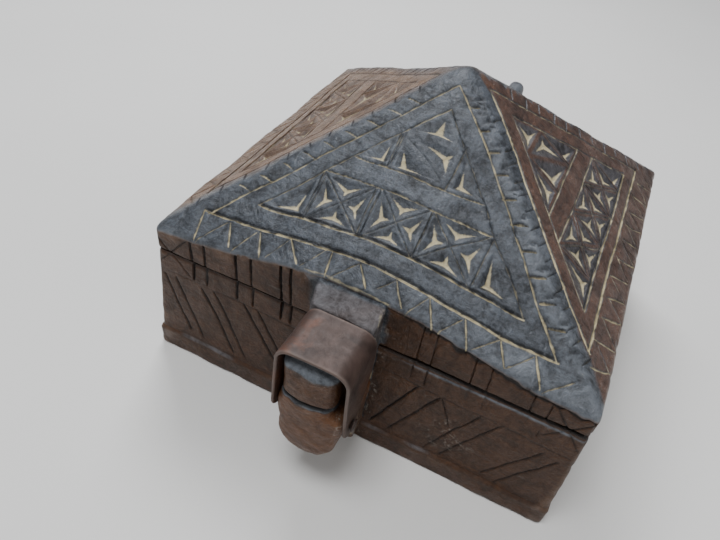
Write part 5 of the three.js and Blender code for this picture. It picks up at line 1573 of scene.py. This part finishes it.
def rusted_iron():
    """Grey-brown skin, darker rust in blotches and on the legs, a bloom of red rust that grows
    towards the left, dark pits, and paler rubbed edges."""
    m = Recipe("rusted_iron")
    blotch = m.noise(70, 5, 0.6, warp=0.5)
    fine = m.noise(1100, 4, 0.6)
    pits = m.noise(320, 6, 0.7)
    skin_colour = m.mix(m.span(blotch, 0.35, 0.65), (0.030, 0.016, 0.012), (0.072, 0.043, 0.034))
    rust = m.plus(m.value("rust"), m.span(blotch, 0.3, 0.7, -0.25, 0.25))
    colour = m.mix(m.span(rust, 0.25, 0.9, 0, 0.9), skin_colour, (0.055, 0.028, 0.017))
    bloom = m.plus(m.span(m.axes()[0], 0.002, -0.014, -0.05, 0.10),
                   m.noise(55, 5, 0.7, warp=0.8))
    colour = m.mix(m.span(bloom, 0.54, 0.70, 0, 0.65), colour, (0.115, 0.040, 0.018))
    colour = m.mix(m.span(pits, 0.55, 0.75, 0, 0.5), colour, (0.030, 0.020, 0.017))
    colour = m.mix(m.span(m.value("edge"), 0.1, 1.0, 0, 0.45), colour, (0.18, 0.135, 0.115))
    rough = m.span(pits, 0.3, 0.7, 0.48, 0.64)
    normal = m.bump(pits, 0.0004, 0.5)
    normal = m.bump(fine, 0.0001, 0.4, normal)
    return m.done(colour, rough, normal, Metallic=0.25)


iron = rusted_iron()
print("the iron has", len(iron.node_tree.nodes), "nodes")
finished(iron_strap, iron, "strap", "iron", "iron_strap")

# %% [markdown]
# ## Nails, pin, washers and brads
# These are turned shapes: a profile of radius against length is swept round the x or the z axis.
# The smith's hammer left the heads out of round, so each radius is varied a little with the
# angle. The pin's two ends are riveted over.

# %% Turned iron pieces


def turned(profile_rows, centre, axis, seed, around=48, off_round=0.04):
    """Points at radius r and length h along the axis; r is varied with the angle by a wave."""
    rows = np.array(profile_rows, float)
    angle = np.linspace(0, 2 * np.pi, around, endpoint=False)
    rng = np.random.default_rng(seed)
    wave = sum(rng.uniform(-1, 1) * np.cos(k * angle + rng.uniform(0, 6)) for k in (2, 3, 5))
    radius = rows[:, :1] * (1 + off_round * wave * smooth(0.5, 3.0, rows[:, :1]))
    round_a, round_b = radius * np.cos(angle), radius * np.sin(angle)
    rings = np.empty((len(rows), around, 3))
    others = [k for k in range(3) if k != axis]
    rings[..., others[0]] = centre[others[0]] + round_a
    rings[..., others[1]] = centre[others[1]] + round_b
    rings[..., axis] = centre[axis] + rows[:, 1:]
    return skin(rings)


def iron_piece(name, made, body, *nodes):
    """A small piece of iron: evenly rusted, with half-rubbed edges."""
    points, faces = made
    values = {"edge": np.full(len(points), 0.25), "rust": np.full(len(points), 0.45)}
    return finished(mesh_object(name, points, faces, values), iron, body, "iron", *nodes)


def domed(radius, thick, shank, length):
    """Profile of a nail or a brad with a hammered head: the dome, the head's edge, the shank."""
    t = np.linspace(0.08, 1, 8)
    dome = np.stack([radius * np.sin(t * np.pi / 2), -thick * np.cos(t * np.pi / 2)], -1)
    return np.concatenate([dome, [[radius, 0.25], [radius * 0.93, 0.45], [shank * 1.1, 0.5],
                                  [shank, 0.7], [shank, length * 0.8], [shank * 0.3, length]]])


NAIL_HEAD, NAIL_SHANK, NAIL_LENGTH = 3.3, 1.6, 10.6
NAIL_HEAD_X = 19.9                      # place of the head's back, outside the strap's leg


def strap_nail(side):
    """A nail driven into the tongue from one side: -1 left, 1 right."""
    rows = domed(NAIL_HEAD, 0.8, NAIL_SHANK, NAIL_LENGTH)
    rows[:, 1] *= -side
    return turned(rows, (side * NAIL_HEAD_X, NAIL_Y, NAIL_Z), 0, 300 + side)


iron_piece("forged_nail_left", strap_nail(-1), "box", "strap_nail_left")
iron_piece("forged_nail_right", strap_nail(1), "box", "strap_nail_right")
print("the nails' heads are", 2 * NAIL_HEAD, "mm wide")

# %% Pin and washers
PIN_RADIUS, RIVET_LEFT, RIVET_RIGHT, RIVET_HIGH = 3.0, 4.2, 5.0, 0.9
WASHER_HOLE = PIN_RADIUS + 0.3


def hinge_pin():
    """A bar with both ends riveted into low domes, a small one on the left."""
    a, b = (corner[0] for corner in corners("hinge_pin"))
    t = np.linspace(0.1, 1, 6) * np.pi / 2
    dome = RIVET_HIGH * (1 - np.cos(t))
    left = np.stack([RIVET_LEFT * np.sin(t), a + dome], -1)
    right = np.stack([RIVET_RIGHT * np.sin(t), b - dome], -1)
    rows = np.concatenate([
        left, [[RIVET_LEFT, a + 1.7], [RIVET_LEFT - 0.3, a + 1.95], [PIN_RADIUS, a + 2.05]],
        [[PIN_RADIUS, x] for x in np.linspace(a + 3, b - 3, 12)],
        [[PIN_RADIUS, b - 2.05], [RIVET_RIGHT - 0.4, b - 1.95], [RIVET_RIGHT, b - 1.7]],
        right[::-1]])
    return turned(rows, (0, PIN_Y, PIN_Z), 0, 310)


def washer(node, seed):
    """A ring of plate in the space of one solid: the profile goes round the outside and back
    through the hole, with its four edges bevelled. The rim is a little out of round."""
    low, high = corners(node)
    x0, x1, edge = low[0], high[0], (high[1] - low[1]) / 2
    bevel, face = 0.25, 0.3
    hole = WASHER_HOLE
    rows = np.array([[hole, x0 + bevel], [hole + face, x0], [edge - face, x0], [edge, x0 + bevel],
                     [edge, x1 - bevel], [edge - face, x1], [hole + face, x1],
                     [hole, x1 - bevel]])
    around = 48
    angle = np.linspace(0, 2 * np.pi, around, endpoint=False)
    rng = np.random.default_rng(seed)
    wave = 1 + 0.03 * np.cos(2 * angle + rng.uniform(0, 6)) + 0.02 * np.cos(5 * angle)
    radius = np.where(rows[:, :1] > 5, rows[:, :1] * wave, rows[:, :1])
    rings = np.stack([np.broadcast_to(rows[:, 1:], radius.shape), PIN_Y + radius * np.cos(angle),
                      PIN_Z + radius * np.sin(angle)], -1)
    count = len(rows)
    here = np.arange(count * around).reshape(count, around)
    below = np.roll(here, -1, 0)
    quads = np.stack([here, np.roll(here, -1, 1), np.roll(below, -1, 1), below], -1).reshape(-1, 4)
    points = rings.reshape(-1, 3)
    return points, outward(points, [quads])


iron_piece("riveted_pin", hinge_pin(), "box", "hinge_pin")
for k, side in enumerate(("left", "right")):
    node = f"hinge_washer_{side}"
    iron_piece(f"plate_washer_{side}", washer(node, 311 + k), "box", node)

# %% [markdown]
# ## The mirror and its frame
# A small mirror is let into the ceiling of the lid, so that the owner can see where the bindi
# goes. Four thin battens that lap over its edge hold it, and each is held by two brads. A bar
# with worn edges is a rounded profile carried along its length, drawn in at both ends.

# %% Bars and plates


def bar(low, high, axis, radius, seed, amount=0.1, steps=24):
    """A straight bar between two corners along one axis, with rounded edges and ends."""
    a, b = [k for k in range(3) if k != axis]
    turn = np.linspace(0, np.pi / 2, 4)
    start, shrink = radius * (1 - np.cos(turn)), radius * (1 - np.sin(turn))
    between = np.linspace(low[axis] + radius, high[axis] - radius, steps)[1:-1]
    path = np.concatenate([low[axis] + start, between, high[axis] - start[::-1]])
    draw = np.concatenate([shrink, np.zeros(steps - 2), shrink[::-1]])
    pairs = profile(low[a] + draw, high[a] - draw, low[b] + draw, high[b] - draw,
                    radius + 0 * draw, 48)
    points, faces = skin(carried(path, pairs, (a, b, axis)))
    return hand_cut(points, seed, amount), faces


low, high = corners("batten_front")
print("front batten", (high - low).round(1), "mm")

# %% Plain wood of the inside


def plain_wood(name, along):
    """Oiled plain wood: bands and fibres drawn out along the piece, and a few dark pores."""
    p = Recipe(name)
    stretch = tuple(22 if k == along else 260 for k in range(3))
    fibre = p.noise(1.0, 6, 0.62, stretch=stretch, warp=0.3)
    band = p.noise(1.0, 3, 0.5, stretch=tuple(0.16 * s for s in stretch), warp=0.8)
    stain = p.noise(34, 4, 0.6)
    colour = p.mix(p.span(band, 0.35, 0.65), (0.085, 0.046, 0.026), (0.165, 0.098, 0.058))
    colour = p.mix(p.span(fibre, 0.5, 0.72, 0, 0.6), colour, (0.035, 0.020, 0.013))
    colour = p.mix(p.span(stain, 0.45, 0.8, 0, 0.5), colour, (0.030, 0.018, 0.013))
    normal = p.bump(fibre, 0.0004, 0.5)
    return p.done(colour, p.span(fibre, 0.3, 0.7, 0.48, 0.66), normal)


batten_x, batten_y = plain_wood("batten_wood_across", 0), plain_wood("batten_wood_along", 1)


def wooden_bar(name, node, axis, material, body, seed, radius=0.9):
    """A bar in the space of one solid."""
    low, high = corners(node)
    points, faces = bar(low, high, axis, radius, seed)
    return finished(mesh_object(name, points, faces), material, body, "inner_wood", node)


for k, (side, axis) in enumerate([("front", 0), ("back", 0), ("left", 1), ("right", 1)]):
    wooden_bar(f"frame_{side}", f"batten_{side}", axis, batten_y if axis else batten_x, "lid",
               400 + 10 * k)

# %% The mirror's plate


def silvered_glass():
    """Old silvering behind glass: bright, with a grey haze that grows in spots."""
    g = Recipe("silvered_glass")
    haze = g.noise(38, 6, 0.65, warp=0.6)
    spots = g.noise(420, 3, 0.5)
    colour = g.mix(g.span(haze, 0.5, 0.75, 0, 0.55), (0.80, 0.83, 0.84), (0.34, 0.35, 0.34))
    colour = g.mix(g.span(spots, 0.66, 0.74), colour, (0.10, 0.09, 0.08))
    return g.done(colour, g.span(haze, 0.45, 0.8, 0.04, 0.30), Metallic=1.0)


points, faces = bar(*corners("mirror"), 2, 0.5, 450, amount=0.0, steps=6)
plate = mesh_object("mirror_plate", points, faces)
finished(plate, silvered_glass(), "lid", "mirror", "mirror", angle=8)
low, high = corners("mirror")
print("the mirror is", (high - low).round(1), "mm")

# %% The brads
BRAD_HEAD, BRAD_SHANK, BRAD_SUNK = 1.9, 0.8, 0.9
for k, name in enumerate(["front_left", "front_right", "back_left", "back_right", "left_front",
                          "left_back", "right_front", "right_back"]):
    low, high = corners(f"brad_{name}")
    x, y, _ = (low + high) / 2
    z = low[2] + BRAD_SUNK
    rows = domed(BRAD_HEAD, 0.7, BRAD_SHANK, high[2] - z)
    iron_piece(f"forged_{name}", turned(rows, (x, y, z), 2, 320 + k, 20), "lid", f"brad_{name}")
print("the brads are", (high[2] - low[2]).round(1), "mm long")

# %% [markdown]
# ## The boards that divide the box
# One long board runs from side to side and two cross boards are halved over it. Each is a profile
# of thickness and height, carried along the board. Where another board passes, the height drops
# to half, so the halved joint is real: the long board is notched from above, the others from
# below.

# %% Dividers
board_x, board_y = plain_wood("board_wood_across", 0), plain_wood("board_wood_along", 1)
NOTCH = 3.3            # half width of a notch: half a board's thickness and some play
END_WEAR = 1.2         # length over which a board's ends are rubbed round


def notched_board(name, node, axis, at, from_above, material, seed):
    """A board whose height is a function of the place along it: full, and halved at each notch.
    The profile (thickness, height) is carried along, with two rings at each side of a notch, one
    full and one halved."""
    low, high = corners(node)
    other = 1 - axis
    half_way = (low[2] + high[2]) / 2
    sides = [low[axis]] + [place + way for place in at for way in (-NOTCH, NOTCH)] + [high[axis]]
    path, notched = [], []
    for k, (a, b) in enumerate(zip(sides[:-1], sides[1:])):
        steps = np.linspace(a, b, 3 if k % 2 else 14)
        path.append(steps)
        notched.append(np.full(len(steps), k % 2 == 1))
    path, notched = np.concatenate(path), np.concatenate(notched)
    draw = (smooth(low[axis] + END_WEAR, low[axis], path)
            + smooth(high[axis] - END_WEAR, high[axis], path))
    foot = np.where(notched & (not from_above), half_way + 0.3, low[2]) + draw * 0.6
    top = np.where(notched & from_above, half_way, high[2]) - draw * 0.6
    pairs = profile(low[other] + draw * 0.5, high[other] - draw * 0.5, foot, top,
                    1.0 + 0 * path, 48)
    points, faces = skin(carried(path, pairs, (other, 2, axis)))
    made = mesh_object(name, hand_cut(points, seed, 0.06), faces)
    return finished(made, material, "box", "inner_wood", node)


long_at = [round(float(np.mean(corners("divider_long"), 0)[1]))]
cross_at = [round(float(np.mean(corners(f"divider_cross_{side}"), 0)[0]))
            for side in ("left", "right")]
notched_board("board_long", "divider_long", 0, cross_at, True, board_x, 500)
notched_board("board_cross_left", "divider_cross_left", 1, long_at, False, board_y, 510)
notched_board("board_cross_right", "divider_cross_right", 1, long_at, False, board_y, 520)
print("the boards cross at x", cross_at, "and y", long_at, "mm")

# %% [markdown]
# ## The floor
# The floor is a plain pale sheet, wide enough to fill the picture and to reach the horizon from
# other sides. It is a stage, not a part of the object.

# %% Floor


def pale_floor():
    """A matt pale paper with the slightest mottle."""
    f = Recipe("pale_floor")
    cloud = f.noise(3, 3, 0.5)
    colour = f.mix(f.span(cloud, 0.3, 0.7), (0.70, 0.69, 0.67), (0.74, 0.73, 0.71))
    return f.done(colour, 0.85)


REACH = 6000.0
floor_points = REACH * np.array([[-1, -1, 0], [1, -1, 0], [1, 1, 0], [-1, 1, 0]])
floor = mesh_object("floor", floor_points, [np.array([[0, 1, 2, 3]])])
floor.data.materials.append(pale_floor())

# %% The end
bpy.context.view_layer.update()
